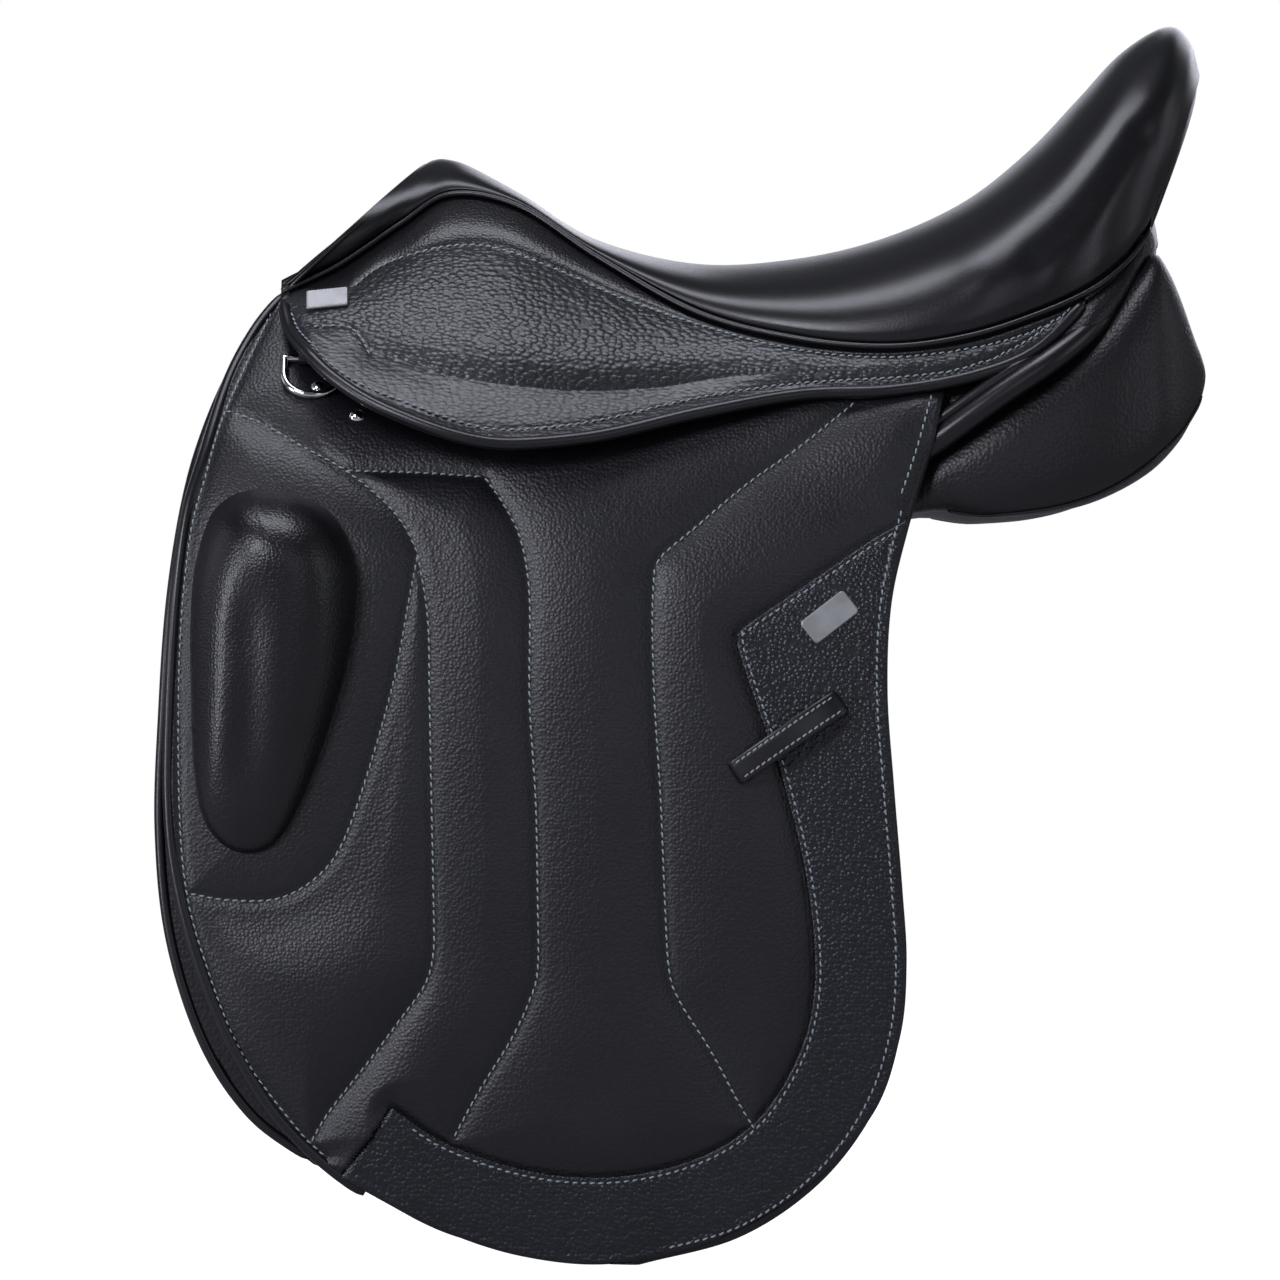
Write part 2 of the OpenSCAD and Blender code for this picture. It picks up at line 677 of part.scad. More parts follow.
module flap() {
    as = steps(0, 1, 10);
    bs = concat(steps(0, 0.12, 4), steps(0.2, 0.68, 6), steps(0.74, 1, 8));
    color(grained_leather)
        slab(grid(flap_surface, as, bs, level(-flap_leather)), grid(flap_surface, as, bs, level(0)));
}

module flap_welt() {
    from_edge = flap_welt_d / 2 - 2 * seat_gap;
    path = [
        for (t = steps(0.01, flap_welt_end, 20))
            off_side(inset(flap_front_edge, t, from_edge), flap_leather / 2)
    ];
    color(black_leather) tube(path, flap_welt_d, around = 6);
}

module grip_panel() {
    as = steps(0.04, 1, 4);
    bs = steps(0, 1, 24);
    color(grip_leather_colour)
        slab(grid(grip_surface, as, bs, level(grip_outer_face)),
            grid(grip_surface, as, bs, level(grip_inner_face)));
}

module thigh_block() {
    as = steps(0, 1, 9);
    bs = steps(0, 1, 12);
    rim = 1.5;
    rise = function (a, b) -(flap_leather + seat_gap + rim
        + (block_rise - rim) * pow(sin(180 * a), 0.7) * pow(sin(180 * pow(b, 0.8)), 0.6));
    color(black_leather)
        slab(grid(block_surface, as, bs, rise), grid(block_surface, as, bs, level(-flap_leather - seat_gap)));
}

// Strap across the flap that the stirrup leather is put through
module keeper() {
    along = unit(keeper_to - keeper_from);
    across = [-along[1], along[0]];
    form = function (a, b) on_side(mix(keeper_from, keeper_to, a) + across * keeper_w * (0.5 - b));
    gap = function (a, b)
        -(grip_outer_face + seat_gap + keeper_room * pow(sin(180 * min(1, max(0, a))), 0.5));
    as = [0, 0.02, 0.05, 0.1, 0.18, 0.3, 0.5, 0.7, 0.82, 0.9, 0.95, 0.98, 1];
    outer = function (a, b) gap(a, b) - keeper_depth;
    color(black_leather) slab(grid(form, as, [0, 0.5, 1], outer), grid(form, as, [0, 0.5, 1], gap));
}

// Skirts

module skirt_top() {
    as = steps(0.05, skirt_last - 0.25, 22);
    shares = steps(0, 1, 4);
    form = function (a, t) skirt_surface(a, t * min(bend_share(a) - bend_share_gap(a), 1));
    color(grained_leather)
        slab(grid(form, as, shares, level(0)), grid(form, as, shares, level(skirt_depth)));
}

module skirt() {
    as = steps(skirt_from, skirt_to, 20);
    shares = steps(0, 1, 4);
    form = function (a, t)
        skirt_surface(a, mix(bend_share(a) + bend_share_gap(a), skirt_sheet_end(a), t));
    color(grained_leather)
        slab(grid(form, as, shares, level(0)), grid(form, as, shares, level(skirt_depth)));
}

module skirt_welt() {
    path = [
        for (a = steps(skirt_from, skirt_to, 22))
            let (t = 1 - edge_share(a, skirt_welt_d / 2))
            skirt_surface(a, t) + skirt_depth / 2 * normal_of(skirt_surface, a, t)
    ];
    color(black_leather) tube(path, skirt_welt_d, around = 6);
}

// Girth straps

strap_top_z = 16;
strap_x = [-70, -20];
// Heights between which a strap's web shows
web_top_z = strap_top_z + strap_w / 2 + 17.5;
web_end_z = strap_top_z - 14;
module girth_strap(x) {
    form = function (a, b)
        let (
            z = mix(strap_top_z + strap_w / 2, strap_end_z, b),
            tip = max(0, strap_end_z + strap_w * 0.7 - z) / strap_w,
            top = max(0, z - strap_top_z) / (strap_w / 2)
        )
        on_side([x + (a - 0.5) * strap_w * max(0.3, 1 - 0.6 * tip) * sqrt(max(0.1, 1 - top * top)), z]);
    as = steps(0, 1, 2);
    bs = concat(steps(0, 0.035, 3), steps(0.06, 0.94, 18), steps(0.96, 1, 2));
    hole_z = [for (i = [0:strap_holes - 1]) strap_end_z + 32 + i * strap_hole_pitch];
    color(black_leather) difference() {
        slab(grid(form, as, bs, level(-strap_outer)), grid(form, as, bs, level(-strap_inner)));
        for (z = hole_z)
            translate([x, on_side([x, z])[1], z]) rotate([90, 0, 0])
                cylinder(r = strap_hole_r, h = 40, center = true, $fn = 32);
    }
}

module girth_webs() {
    color(web_colour) for (hand = [0, 1]) on_hand(hand) for (x = strap_x) {
        form = function (a, b) on_side([x + (a - 0.5) * strap_w, mix(web_top_z, web_end_z, b)]);
        as = [0, 0.5, 1];
        bs = steps(0, 1, 5);
        slab(grid(form, as, bs, level(-web_outer)), grid(form, as, bs, level(-web_inner)));
    }
}

// Stirrup bars

bar_x = -138;
bar_z = 88;
bar_plate_w = 18;
bar_plate_length = 40;
// Offset of the back plate, which lies on the gullet plate's point
bar_base = point_outer + 3 * seat_gap;
bar_out = bar_plate_depth + bar_room;
// Thickness of the bar's end under the safety catch
bar_step = bar_depth / 2;
catch_clearance = 0.3;
catch_depth = bar_depth - bar_step - catch_clearance;
rivet_r = 3;
rivet_gap = 24;
module stirrup_bar() {
    color(steel) on_slope(bar_x, bar_z, bar_base) {
        translate([-12, -bar_plate_w / 2, 0]) difference() {
            cube([bar_plate_length, bar_plate_w, bar_plate_depth]);
            for (i = [0, 1])
                translate([8 + i * rivet_gap, bar_plate_w / 2, -1])
                    cylinder(r = rivet_r, h = bar_plate_depth + 2, $fn = 32);
        }
        translate([-12, -bar_plate_w / 2 - bar_w, 0]) cube([10, bar_w, bar_out + bar_depth]);
        translate([-12, -bar_plate_w / 2 - bar_w, bar_out]) cube([bar_length - bar_w, bar_w, bar_depth]);
        translate([-12, -bar_plate_w / 2 - bar_w, bar_out]) cube([bar_length, bar_w, bar_step]);
        translate([-12 + bar_length, -bar_plate_w / 2 - bar_w / 2, bar_out]) {
            cylinder(r = bar_w / 2, h = bar_step, $fn = 48);
            cylinder(r = catch_pin_r, h = bar_depth, $fn = 32);
        }
    }
}

module bar_rivets() {
    color(steel) for (hand = [0, 1]) on_hand(hand) on_slope(bar_x, bar_z, bar_base)
        for (i = [0, 1]) translate([-4 + i * rivet_gap, 0, 0]) {
            cylinder(r = rivet_r - 0.1, h = bar_plate_depth + 0.4, $fn = 32);
            translate([0, 0, bar_plate_depth + 0.2]) cylinder(r = rivet_r + 1.6, h = 1.4, $fn = 32);
        }
}

// Safety catch that swings up behind the end of the bar
module bar_catch() {
    color(steel) on_slope(bar_x, bar_z, bar_base)
        translate([-12 + bar_length, -bar_plate_w / 2 - bar_w / 2, bar_out + bar_step + catch_clearance])
            difference() {
                union() {
                    cylinder(r = bar_w / 2, h = catch_depth, $fn = 32);
                    translate([0, -bar_w / 2 + 1.5, 0]) cube([catch_length, bar_w - 3, catch_depth]);
                    translate([catch_length, 0, 0]) cylinder(r = bar_w / 2 - 1.5, h = catch_depth, $fn = 32);
                }
                translate([0, 0, -1])
                    cylinder(r = catch_pin_r + catch_clearance, h = catch_depth + 2, $fn = 32);
            }
}

// Rings and studs

ring_x = -179;
ring_z = 71.5;
loop_wall = 1.6;
loop_w = 14;
loop_tab = 9;
ring_clearance = 0.3;
ring_out = flap_leather + seat_gap + loop_wall + ring_clearance + ring_wire_d / 2;
module d_ring() {
    half = (ring_w + ring_wire_d) / 2;
    r = ring_wire_d / 2;
    side = ring_drop + r - half;
    color(steel) on_slope(ring_x, ring_z, ring_out) {
        rotate([0, 90, 0]) cylinder(r = r, h = 2 * half, center = true, $fn = 24);
        for (s = [-1, 1]) {
            translate([s * half, 0, 0]) sphere(r = r, $fn = 24);
            translate([s * half, 0, 0]) rotate([90, 0, 0]) cylinder(r = r, h = side, $fn = 24);
        }
        translate([0, -side, 0]) rotate([0, 0, 180]) rotate_extrude(angle = 180, $fn = 48)
            translate([half, 0]) circle(r = r, $fn = 24);
    }
}

module ring_loops() {
    bore = ring_wire_d / 2 + ring_clearance;
    color(black_leather) for (hand = [0, 1]) on_hand(hand) on_slope(ring_x, ring_z, ring_out) difference() {
        union() {
            rotate([0, 90, 0]) cylinder(r = bore + loop_wall, h = loop_w, center = true, $fn = 32);
            translate([-loop_w / 2, 0, -bore - loop_wall]) cube([loop_w, loop_tab, loop_wall * 2]);
        }
        rotate([0, 90, 0]) cylinder(r = bore, h = loop_w + 6, center = true, $fn = 32);
    }
}

stud_places = [[-176, 59], [-157, 45]];
module point_studs() {
    color(steel) for (hand = [0, 1]) on_hand(hand) for (p = stud_places)
        on_slope(p[0], p[1], flap_leather + seat_gap) rotate_extrude($fn = 48) intersection() {
            square([stud_r, stud_rise]);
            translate([0, stud_rise - stud_r]) circle(r = stud_r, $fn = 48);
        }
}

tree();
gullet_plate();
seat_webbing();
seat_foam();
seat_cover();
seat_welt();
pommel_facing();
cantle_facing();
rear_roll();
on_hand(0) panel();  // panel_left
on_hand(1) panel();  // panel_right
on_hand(0) panel_facing();  // panel_facing_left
on_hand(1) panel_facing();  // panel_facing_right
on_hand(0) sweat_flap();  // sweat_flap_left
on_hand(1) sweat_flap();  // sweat_flap_right
on_hand(0) sweat_welt();  // sweat_welt_left
on_hand(1) sweat_welt();  // sweat_welt_right
on_hand(0) stirrup_bar();  // stirrup_bar_left
on_hand(1) stirrup_bar();  // stirrup_bar_right
bar_rivets();
on_hand(0) flap_head();  // flap_head_left
on_hand(1) flap_head();  // flap_head_right
on_hand(0) skirt_top();  // skirt_top_left
on_hand(1) skirt_top();  // skirt_top_right
ring_loops();
point_studs();
girth_webs();
on_hand(0) flap();  // flap_left
on_hand(1) flap();  // flap_right
on_hand(0) flap_welt();  // flap_welt_left
on_hand(1) flap_welt();  // flap_welt_right
on_hand(0) grip_panel();  // grip_panel_left
on_hand(1) grip_panel();  // grip_panel_right
on_hand(0) thigh_block();  // thigh_block_left
on_hand(1) thigh_block();  // thigh_block_right
on_hand(0) keeper();  // keeper_left
on_hand(1) keeper();  // keeper_right
on_hand(0) skirt();  // skirt_left
on_hand(1) skirt();  // skirt_right
on_hand(0) skirt_welt();  // skirt_welt_left
on_hand(1) skirt_welt();  // skirt_welt_right
on_hand(0) d_ring();  // d_ring_left
on_hand(1) d_ring();  // d_ring_right
on_hand(0) bar_catch();  // bar_catch_left
on_hand(1) bar_catch();  // bar_catch_right
on_hand(0) girth_strap(strap_x[0]);  // girth_strap_front_left
on_hand(1) girth_strap(strap_x[0]);  // girth_strap_front_right
on_hand(0) girth_strap(strap_x[1]);  // girth_strap_rear_left
on_hand(1) girth_strap(strap_x[1]);  // girth_strap_rear_right
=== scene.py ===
import math

import bpy
import numpy as np
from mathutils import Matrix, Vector


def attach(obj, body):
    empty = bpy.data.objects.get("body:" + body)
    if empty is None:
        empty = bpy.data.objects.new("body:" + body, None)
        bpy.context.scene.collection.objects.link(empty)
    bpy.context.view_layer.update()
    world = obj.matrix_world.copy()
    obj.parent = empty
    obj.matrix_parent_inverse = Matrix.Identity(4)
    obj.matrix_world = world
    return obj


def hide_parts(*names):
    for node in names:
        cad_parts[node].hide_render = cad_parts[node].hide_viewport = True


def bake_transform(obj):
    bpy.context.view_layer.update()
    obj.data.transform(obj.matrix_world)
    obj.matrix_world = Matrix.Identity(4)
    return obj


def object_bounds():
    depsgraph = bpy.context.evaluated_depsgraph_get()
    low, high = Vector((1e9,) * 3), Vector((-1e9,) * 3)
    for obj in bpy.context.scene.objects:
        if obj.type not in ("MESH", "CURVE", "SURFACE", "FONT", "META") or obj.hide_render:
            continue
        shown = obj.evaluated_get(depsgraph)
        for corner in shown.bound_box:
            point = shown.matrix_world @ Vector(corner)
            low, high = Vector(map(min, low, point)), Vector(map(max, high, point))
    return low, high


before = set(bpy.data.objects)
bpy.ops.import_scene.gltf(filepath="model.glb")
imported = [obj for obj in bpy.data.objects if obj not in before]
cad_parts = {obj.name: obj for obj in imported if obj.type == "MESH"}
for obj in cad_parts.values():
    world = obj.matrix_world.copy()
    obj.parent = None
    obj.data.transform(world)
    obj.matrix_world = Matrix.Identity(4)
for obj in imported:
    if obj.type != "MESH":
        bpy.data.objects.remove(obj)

cad_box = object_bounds()

# Sizes are in millimetres, in the frame of the part: +Z up, the pommel towards -X, the near side towards -Y.
MM = 0.001
TINY, FAR = 1e-9, 1e9
ROOT = "saddle"
SIDES = (("left", 1), ("right", -1))

# Layers at the side, measured outwards from the flap's inner face
FLAP_LEATHER = 4.5
SWEAT_OUTER = -8.0
SWEAT_INNER = -11.0
PANEL_FACE = -11.3

# Flap: height of its bend, its drop below that, and its rolled edge
FLAP_BEND_Z = 29.0
FLAP_DROP = 389.0
EDGE_ROLL_D = 5.8

# Skirt: thickness, its seam under the seat's edge, its stand off the flap, its bulge and its rolled edge
SKIRT_DEPTH = 6.0
SKIRT_SEAM_DROP, SKIRT_SEAM_OUT, SKIRT_PAST_SEAT = 4.2, 1, 4
REST_GAP = 0.3
SKIRT_STAND, SKIRT_BULGE = 12.0, 14.0
SKIRT_ROLL_D = 6.4

# Seat cover with its welt and its curl over the cantle, and the rear roll below it
SEAT_LEATHER = 3.0
SEAT_WELT_D = 2.8
CANTLE_CURL = 3.0
ROLL_D = 12.0
ROLL_DRAW_IN = 8.0

# Thread, with the rings of a stitch: place as a share of half its length, breadth as a share of its
# radius, and stand above the row
STITCH_PITCH = 4.1
STITCH_LENGTH = 2.9
STITCH_R = 0.46
STITCH_TILT = 0.16
STITCH_RINGS = [(-1, 0.35, -0.62), (-0.72, 0.9, -0.1), (0, 1, 0.12), (0.72, 0.9, -0.1), (1, 0.35, -0.62)]
STITCH_SIDES = 6
# Points of a line that take stitches, short of both its ends
ROW_SPAN = slice(3, -3)

# Ends of a rolled edge: how many rings they take and how much they draw in
TUBE_END_RINGS, TUBE_END_ROUND = 3, 0.5

# Ridge of the seat on the centre line and the seam round its lower edge
SEAT_RIDGE = [
    (-125.5, 177), (-122, 178.6), (-116, 178.8), (-104, 175), (-78, 160.5), (-42, 138.5), (8, 126.5),
    (57, 129), (100, 139), (140, 157), (172, 182), (197, 208), (219, 231.5), (241, 244.5), (252.5, 238),
    (257.5, 222),
]
SEAT_EDGE = [
    (-190, 74, 114), (-167, 68, 125.5), (-138, 58, 145.5), (-113, 54, 160.5), (-79, 66, 154), (-40, 88, 128),
    (9, 116, 100), (57, 136, 87), (101, 146, 83), (139, 148, 88), (173, 142, 99), (199, 132, 111),
    (216, 118, 124), (225, 104, 135), (228, 96, 140), (229.5, 90, 144),
]
# Squareness of the seat's section at each of those points, and the first and last place on it
SEAT_SQUARE = [2.1, 2.1, 2.2, 2.3, 2.3, 2.3, 2.3, 2.3, 2.4, 2.5, 2.5, 2.5, 2.4, 2.3, 2.2, 2.2]
SEAT_FIRST, SEAT_LAST = -0.25, len(SEAT_RIDGE) - 1

# Soft folds of the seat cover where it turns up to the cantle, x and z
SEAT_FOLD = [(228, 202), (217, 188), (204, 171), (190, 154), (176, 139), (163, 128), (150, 118)]
SEAT_HOLLOW = [(222, 184), (210, 169), (198, 153), (185, 138), (171, 125)]
SEAT_LESSER_FOLD = [(222, 176), (214, 163), (206, 150), (196, 138), (180, 122)]

# Back of the cantle on the centre line, x and z
CANTLE_BACK = [(256.5, 219), (255.5, 209), (251, 194), (243, 174), (234.5, 154), (236, 140), (235, 126)]

# Half breadth of the flap's inner face at each height
SIDE_PROFILE = [
    (-400, 170), (-370, 172), (-260, 178), (-180, 179), (-100, 175), (-40, 168), (0, 158.5), (30, 144),
    (60, 122), (85, 101), (110, 80), (140, 55),
]
# How that face wraps in towards the front and flares out under the seat towards the rear
WRAP_START, WRAP_IN = -100, 10
FLARE_START, FLARE_OUT = -40, 18
WRAP_REACH, FLARE_FADE = 150, 60

# Outlines of the flap: x and the share of its drop below the bend
FLAP_FRONT = [
    (-233, 0), (-241, 0.074), (-246, 0.18), (-248.5, 0.306), (-249, 0.427), (-245, 0.524), (-234, 0.632),
    (-216, 0.74), (-190, 0.838), (-153, 0.917), (-110, 0.964), (-62, 0.995),
]
FLAP_REAR = [
    (120.5, 0), (109.5, 0.09), (101, 0.185), (99, 0.293), (102, 0.409), (106, 0.537), (108, 0.627),
    (105, 0.717), (92, 0.812), (66, 0.9), (28, 0.966), (-20, 1),
]
# Its head above the bend, x and z
HEAD_FRONT = [(-195, 110), (-209, 92), (-222, 66), (-233, FLAP_BEND_Z)]
HEAD_TOP = [(-195, 110), (-178, 92), (-158, 72), (-124, 62), (-76, 60), (22, 58), (127, 57)]
# Share of the front edge that is rolled
EDGE_ROLL_END = 0.83
# Leather pared off the inner face along the bend, so that it clears the straps when it folds
FLAP_SKIVE = 1.6

# Outlines of the sweat flap, x and z
SWEAT_FRONT = [
    (-196, 110), (-212, 92), (-226, 66), (-239, 24), (-248, -35), (-252, -95), (-253.5, -151), (-248, -205),
    (-232, -255), (-209, -290), (-180, -312),
]
SWEAT_REAR = [(92, 48), (84, 0), (82, -80), (88, -170), (88, -240), (66, -298)]
SWEAT_TOP = [(-196, 110), (-166, 86), (-130, 62), (-60, 52), (20, 50), (92, 48)]
SWEAT_BOTTOM = [(-180, -312), (-130, -328), (-70, -336), (0, -332), (66, -298)]

# Lower edge of the skirt at each station of the seat, and how far it stands off the flap there
SKIRT_EDGE = [
    (-194, 101), (-188, 82), (-170, 60), (-138, 41), (-97, 33), (-45, 36), (8, 48), (57, 57), (101, 59),
    (141, 66), (172, 79), (199, 106),
]
SKIRT_LIFT = [0.5, 0.95, 1.05, 1, 1, 0.75, 0.35, 0.15, 0.1, 0.1, 0.1, 0.1]
SKIRT_FIRST_STATION, SKIRT_LAST_STATION = -0.25, 10.85
# Ends of the line that it lifts on, x and z
SKIRT_BEND = ((-193, 97), (140, 65))

# Outline of the thigh block, from the middle of its top and round by the rear
BLOCK_OUTLINE = [
    (-207, 13), (-183, 9.6), (-166, -2), (-157, -22), (-156, -41), (-159, -65), (-165, -89), (-172.6, -113),
    (-182, -137), (-193, -156), (-205, -163), (-219, -160), (-230, -146), (-234.6, -122), (-236, -89),
    (-236.5, -55), (-234.6, -26), (-228, -2), (-219, 8.6),
]
BLOCK_CREST = (-192, -27)
# Half breadth of the saddle at the block's crest, and the hollow between the block's two ridges as z and x
BLOCK_FACE = 207.0
BLOCK_HOLLOW = [(-165, -211), (-120, -208.5), (-60, -207), (15, -206)]
BLOCK_HOLLOW_DEPTH, BLOCK_HOLLOW_W = 4.0, 9.5

# Inner edge of the grip panel and its outer edge on the flap's own edge
GRIP_INNER = [
    (108, -4), (90, -14), (57, -36), (29, -55), (27, -60), (27.5, -67), (38, -98), (49, -130), (58, -166),
    (63, -200), (63, -232), (55, -261), (36, -290), (8, -308), (-30, -317), (-70, -315), (-111, -302),
    (-139, -284),
]
GRIP_OUTER = [
    (109, -2), (103, -25), (100, -50), (98.5, -78), (98.3, -88), (99, -100), (100.5, -128), (103, -158),
    (105.5, -190), (107, -220), (103, -258), (90, -290), (60, -322), (20, -346), (-30, -359), (-75, -356),
    (-118, -342), (-164, -318),
]

# Grip panel's face above the flap's inner face, and its stitches in from its inner edge and the flap's edge
GRIP_FACE = 6.4
GRIP_ROW_IN, EDGE_ROW_IN = 2.8, 5.2
# Points of the flap's rear edge that have the row beside them
EDGE_ROW_SPAN = slice(6, -2)

# Row of stitches beside the flap's rear edge, above the grip panel, x and z
REAR_TOP_ROW = [(121, 55), (115, 36), (108.8, 17.6), (105.4, 8)]

# Seams sewn through the flap, x and z
FRONT_SEAM = [
    (-200, 98), (-221, 49), (-230, 17), (-237, -12), (-241.5, -65), (-241.5, -137), (-238, -180),
    (-229, -214), (-212, -257), (-185, -294), (-171, -308),
]
BLOCK_TOP_SEAM = [(-221, 49), (-204, 43), (-184, 32), (-162, 20), (-143, 5), (-133, -7), (-127, -19)]
BLOCK_BASE_SEAM = [
    (-127, -20), (-131, -41), (-138, -79), (-150, -122), (-162, -156), (-174, -173), (-193, -184),
    (-217, -185), (-236, -182),
]
FIRST_SEAM = [
    (-127, -19), (-122, -50), (-121, -89), (-120, -137), (-119, -185), (-119, -209), (-123, -225),
    (-135, -242), (-150, -262), (-169, -286), (-178, -301),
]
SECOND_SEAM_TOP = [(-162, 20), (-126, 19), (-95, 17)]
SECOND_SEAM = [
    (-95, 17), (-85, 3), (-77, -14), (-73, -41), (-73, -89), (-70, -137), (-69, -185), (-69, -218),
    (-73, -233), (-82, -252), (-97, -276), (-109, -298),
]
THIRD_SEAM_TOP = [(84, 53), (57, 32), (33, 15), (9, -5), (-8, -19), (-13, -26)]
THIRD_SEAM = [
    (-13, -26), (-14, -50), (-13, -89), (-10, -137), (-8, -185), (-6, -218), (-1, -233), (14, -257),
    (28, -283), (36, -296),
]
FLAP_SEAMS = [
    FRONT_SEAM, BLOCK_TOP_SEAM, BLOCK_BASE_SEAM, FIRST_SEAM, SECOND_SEAM_TOP, SECOND_SEAM, THIRD_SEAM_TOP,
    THIRD_SEAM,
]

# Seams sewn through the skirt, x and z
SKIRT_UPPER_SEAM = [
    (-160, 112), (-146, 123), (-126, 130), (-107, 133), (-88, 131), (-59, 120), (-30, 107), (9, 93),
    (48, 82), (86, 77), (120, 78), (154, 84), (178, 93), (192, 103),
]
SKIRT_LOWER_SEAM = [
    (-190, 97), (-184, 82), (-170, 65), (-151, 53), (-126, 45), (-97, 41), (-68, 42), (-39, 46), (9, 57),
    (57, 64), (106, 67), (135, 71), (159, 80), (181, 94),
]
SKIRT_FRONT_SEAM = [(-180, 92), (-163, 92), (-156, 87), (-150, 76)]
# Fold across the skirt, under its pebbled field
SKIRT_FOLD = [
    (-180, 92), (-166, 89), (-148, 78), (-130, 71.5), (-112, 67), (-59, 61), (-15, 62), (19, 67),
    (57, 71),
]

# Panel's rear end: where its own heights take over, where it starts to narrow, its lower and its upper line
PANEL_END, PANEL_ROUND = 120.0, 228.0
PANEL_UNDER = [
    (110, -2.5), (150, -1), (179, 1.5), (203, 8), (227, 21), (242, 36), (251, 51), (254.2, 58.5),
    (255.6, 63), (256.2, 66), (256.5, 69),
]
PANEL_TOP = [
    (110, 73), (165, 81), (205, 104), (222, 122), (232, 129), (238, 121), (244, 107.5), (251, 88),
    (254.2, 80), (255.6, 75.5), (256.2, 73), (256.5, 70),
]
# Degrees round the section to its seam
PANEL_SEAM_TURN = 40
# Corners of the panel's section at each station: x, then inner bottom, outer bottom, outer top and inner top
# as half breadth and z; an outer corner with no breadth lies against the sweat flap
PANEL_STATIONS = [
    (-192, (62, 84), (0, -16), (0, 2), (66, 100)),
    (-178, (52, 74), (0, -42), (0, -14), (64, 106)),
    (-125, (42, 50), (0, -36), (0, -8), (58, 94)),
    (-45, (34, 28), (0, -4), (0, 20), (56, 82)),
    (25, (34, 20), (0, -1), (0, 24), (58, 76)),
    (92, (34, 21), (0, -3), (0, 22), (58, 73)),
    (128, (34, 25), (150, -4), (151, 35), (58, 74)),
    (165, (34, 32), (152, -3), (152, 60), (60, 82)),
    (205, (34, 44), (146, 0), (142, 91), (60, 103)),
    (238, (38, 56), (134, 17), (118, 120), (62, 125)),
    (256.5, (52, 70), (112, 52), (108, 86), (64, 90)),
]
# Middle line of the rear roll, x, y and z, to the centre line
ROLL_LINE = [
    (98, -142, 19), (123, -150, 36), (152, -151, 57), (180, -146, 76), (206, -132, 96), (224, -106, 119),
    (234, -70, 132), (238, -34, 136), (239, 0, 137),
]
# Places of the two plates and the keeper, x and z
SKIRT_PLATE = (-172, 104.5)
FLAP_PLATE = (71, -50)
KEEPER_ENDS = ((25, -125), (77, -90))
KEEPER_W, KEEPER_DEPTH, KEEPER_ROOM = 12.4, 2.5, 8.0

# Leather's edge within a rolled edge, the roll's own middle line, and the step between its rings
LEATHER_IN, ROLL_IN, ROLL_STEP = EDGE_ROLL_D * 0.6, EDGE_ROLL_D * 0.4, 3.0
# Level of the flap's roll as a share of its leather, and shares of an edge: over which the roll fades,
# where it stops on the flap's head, and where it starts on the sweat flap
FLAP_ROLL_LEVEL = 0.55
EDGE_ROLL_FADE, HEAD_ROLL_END, SWEAT_ROLL_FROM = 0.08, 0.97, 0.01

# Bends, where a piece turns from the saddle's body to its own: place and half the height of the turn
FLAP_BEND_Y, FLAP_BEND_HALF = -154, 7
SKIRT_BEND_Y, SKIRT_BEND_HALF = -134, 6

# Relief of the flap: a steep step beside each seam, then a soft swell that is fuller at the lower front
SEAM_BED = 1.0
SEAM_STEP, SEAM_STEP_W = 1.0, 1.6
PADDING, PADDING_REACH, PADDING_POWER = 3.0, 13.0, 1.3
FULLER, FULLER_X, FULLER_Z = 3.2, (-105, -145), (-175, -225)
# How much sooner the swell fills beside the grip panel and beside the flap's edge
GRIP_PULL, EDGE_PULL = 1.3, 1.2
# Share of the swell that is lost along the lower seam of the block, how far that reaches, and its power
BED_SINK, BED_REACH, BED_POWER = 0.9, 22, 1.5
UNDER_GRIP = 0.2
EDGE_ROUND, EDGE_ROUND_W = 1.3, 1.6
# Heights about the skirt's lower edge between which the flap goes flat under it
UNDER_SKIRT = (-12, 4)
SKIVE_DROP, SKIVE_REACH = 3, 10

# Stand of the thread above a seam, above the grip panel's face, and how deep it lies on a flat strap
THREAD_STAND, THREAD_ON_GRIP, THREAD_SINK = 0.4, 0.15, 0.2

# Thigh block: its foot above the flap's leather, the hem under it, and the heights where its hollow fades
BLOCK_FOOT, BLOCK_HEM = 0.5, 1.6
BLOCK_HOLLOW_TOP, BLOCK_HOLLOW_FOOT = (-22, -62), (-150, -100)
# Powers of its rings' spacing and of its round shoulder
BLOCK_SPACING, BLOCK_SHOULDER = 0.8, 2.2

# Grip panel: its back, its rounded edge and the grooves under its two rows of stitches
GRIP_BACK, GRIP_EDGE_ROUND = 4.6, 0.9
GRIP_GROOVE, GRIP_GROOVE_W, EDGE_GROOVE_W = 0.3, 1.0, 1.2

# Keeper: its feet above the flap's inner face, its ends, its crown, and its two rows as shares of half its
# breadth
KEEPER_FOOT, KEEPER_END_ROUND, KEEPER_END_W = 6.8, 3.0, 0.82
KEEPER_CROWN, KEEPER_CROWN_POWER, KEEPER_CREASE = 0.7, 6, 0.25
KEEPER_ROW, KEEPER_ROW_W, KEEPER_PITCH = 0.68, 0.08, 3.4

# Skirt: how far its front edge is drawn up, from which share of its height, and between which x at the rear
# and in front
SKIRT_RAISE, SKIRT_RAISE_FROM = 6.6, 0.55
SKIRT_RAISE_REAR, SKIRT_RAISE_FRONT = (-80, -145), (-200, -176)
SKIRT_ROW_RAISE, SKIRT_THREAD_STAND = 1.3, 0.5
# Padding of its field, and how deep its seams lie
SKIRT_STEP, SKIRT_PADDING, SKIRT_PADDING_REACH, SKIRT_SUNK = 0.9, 1.6, 10.0, 1.8
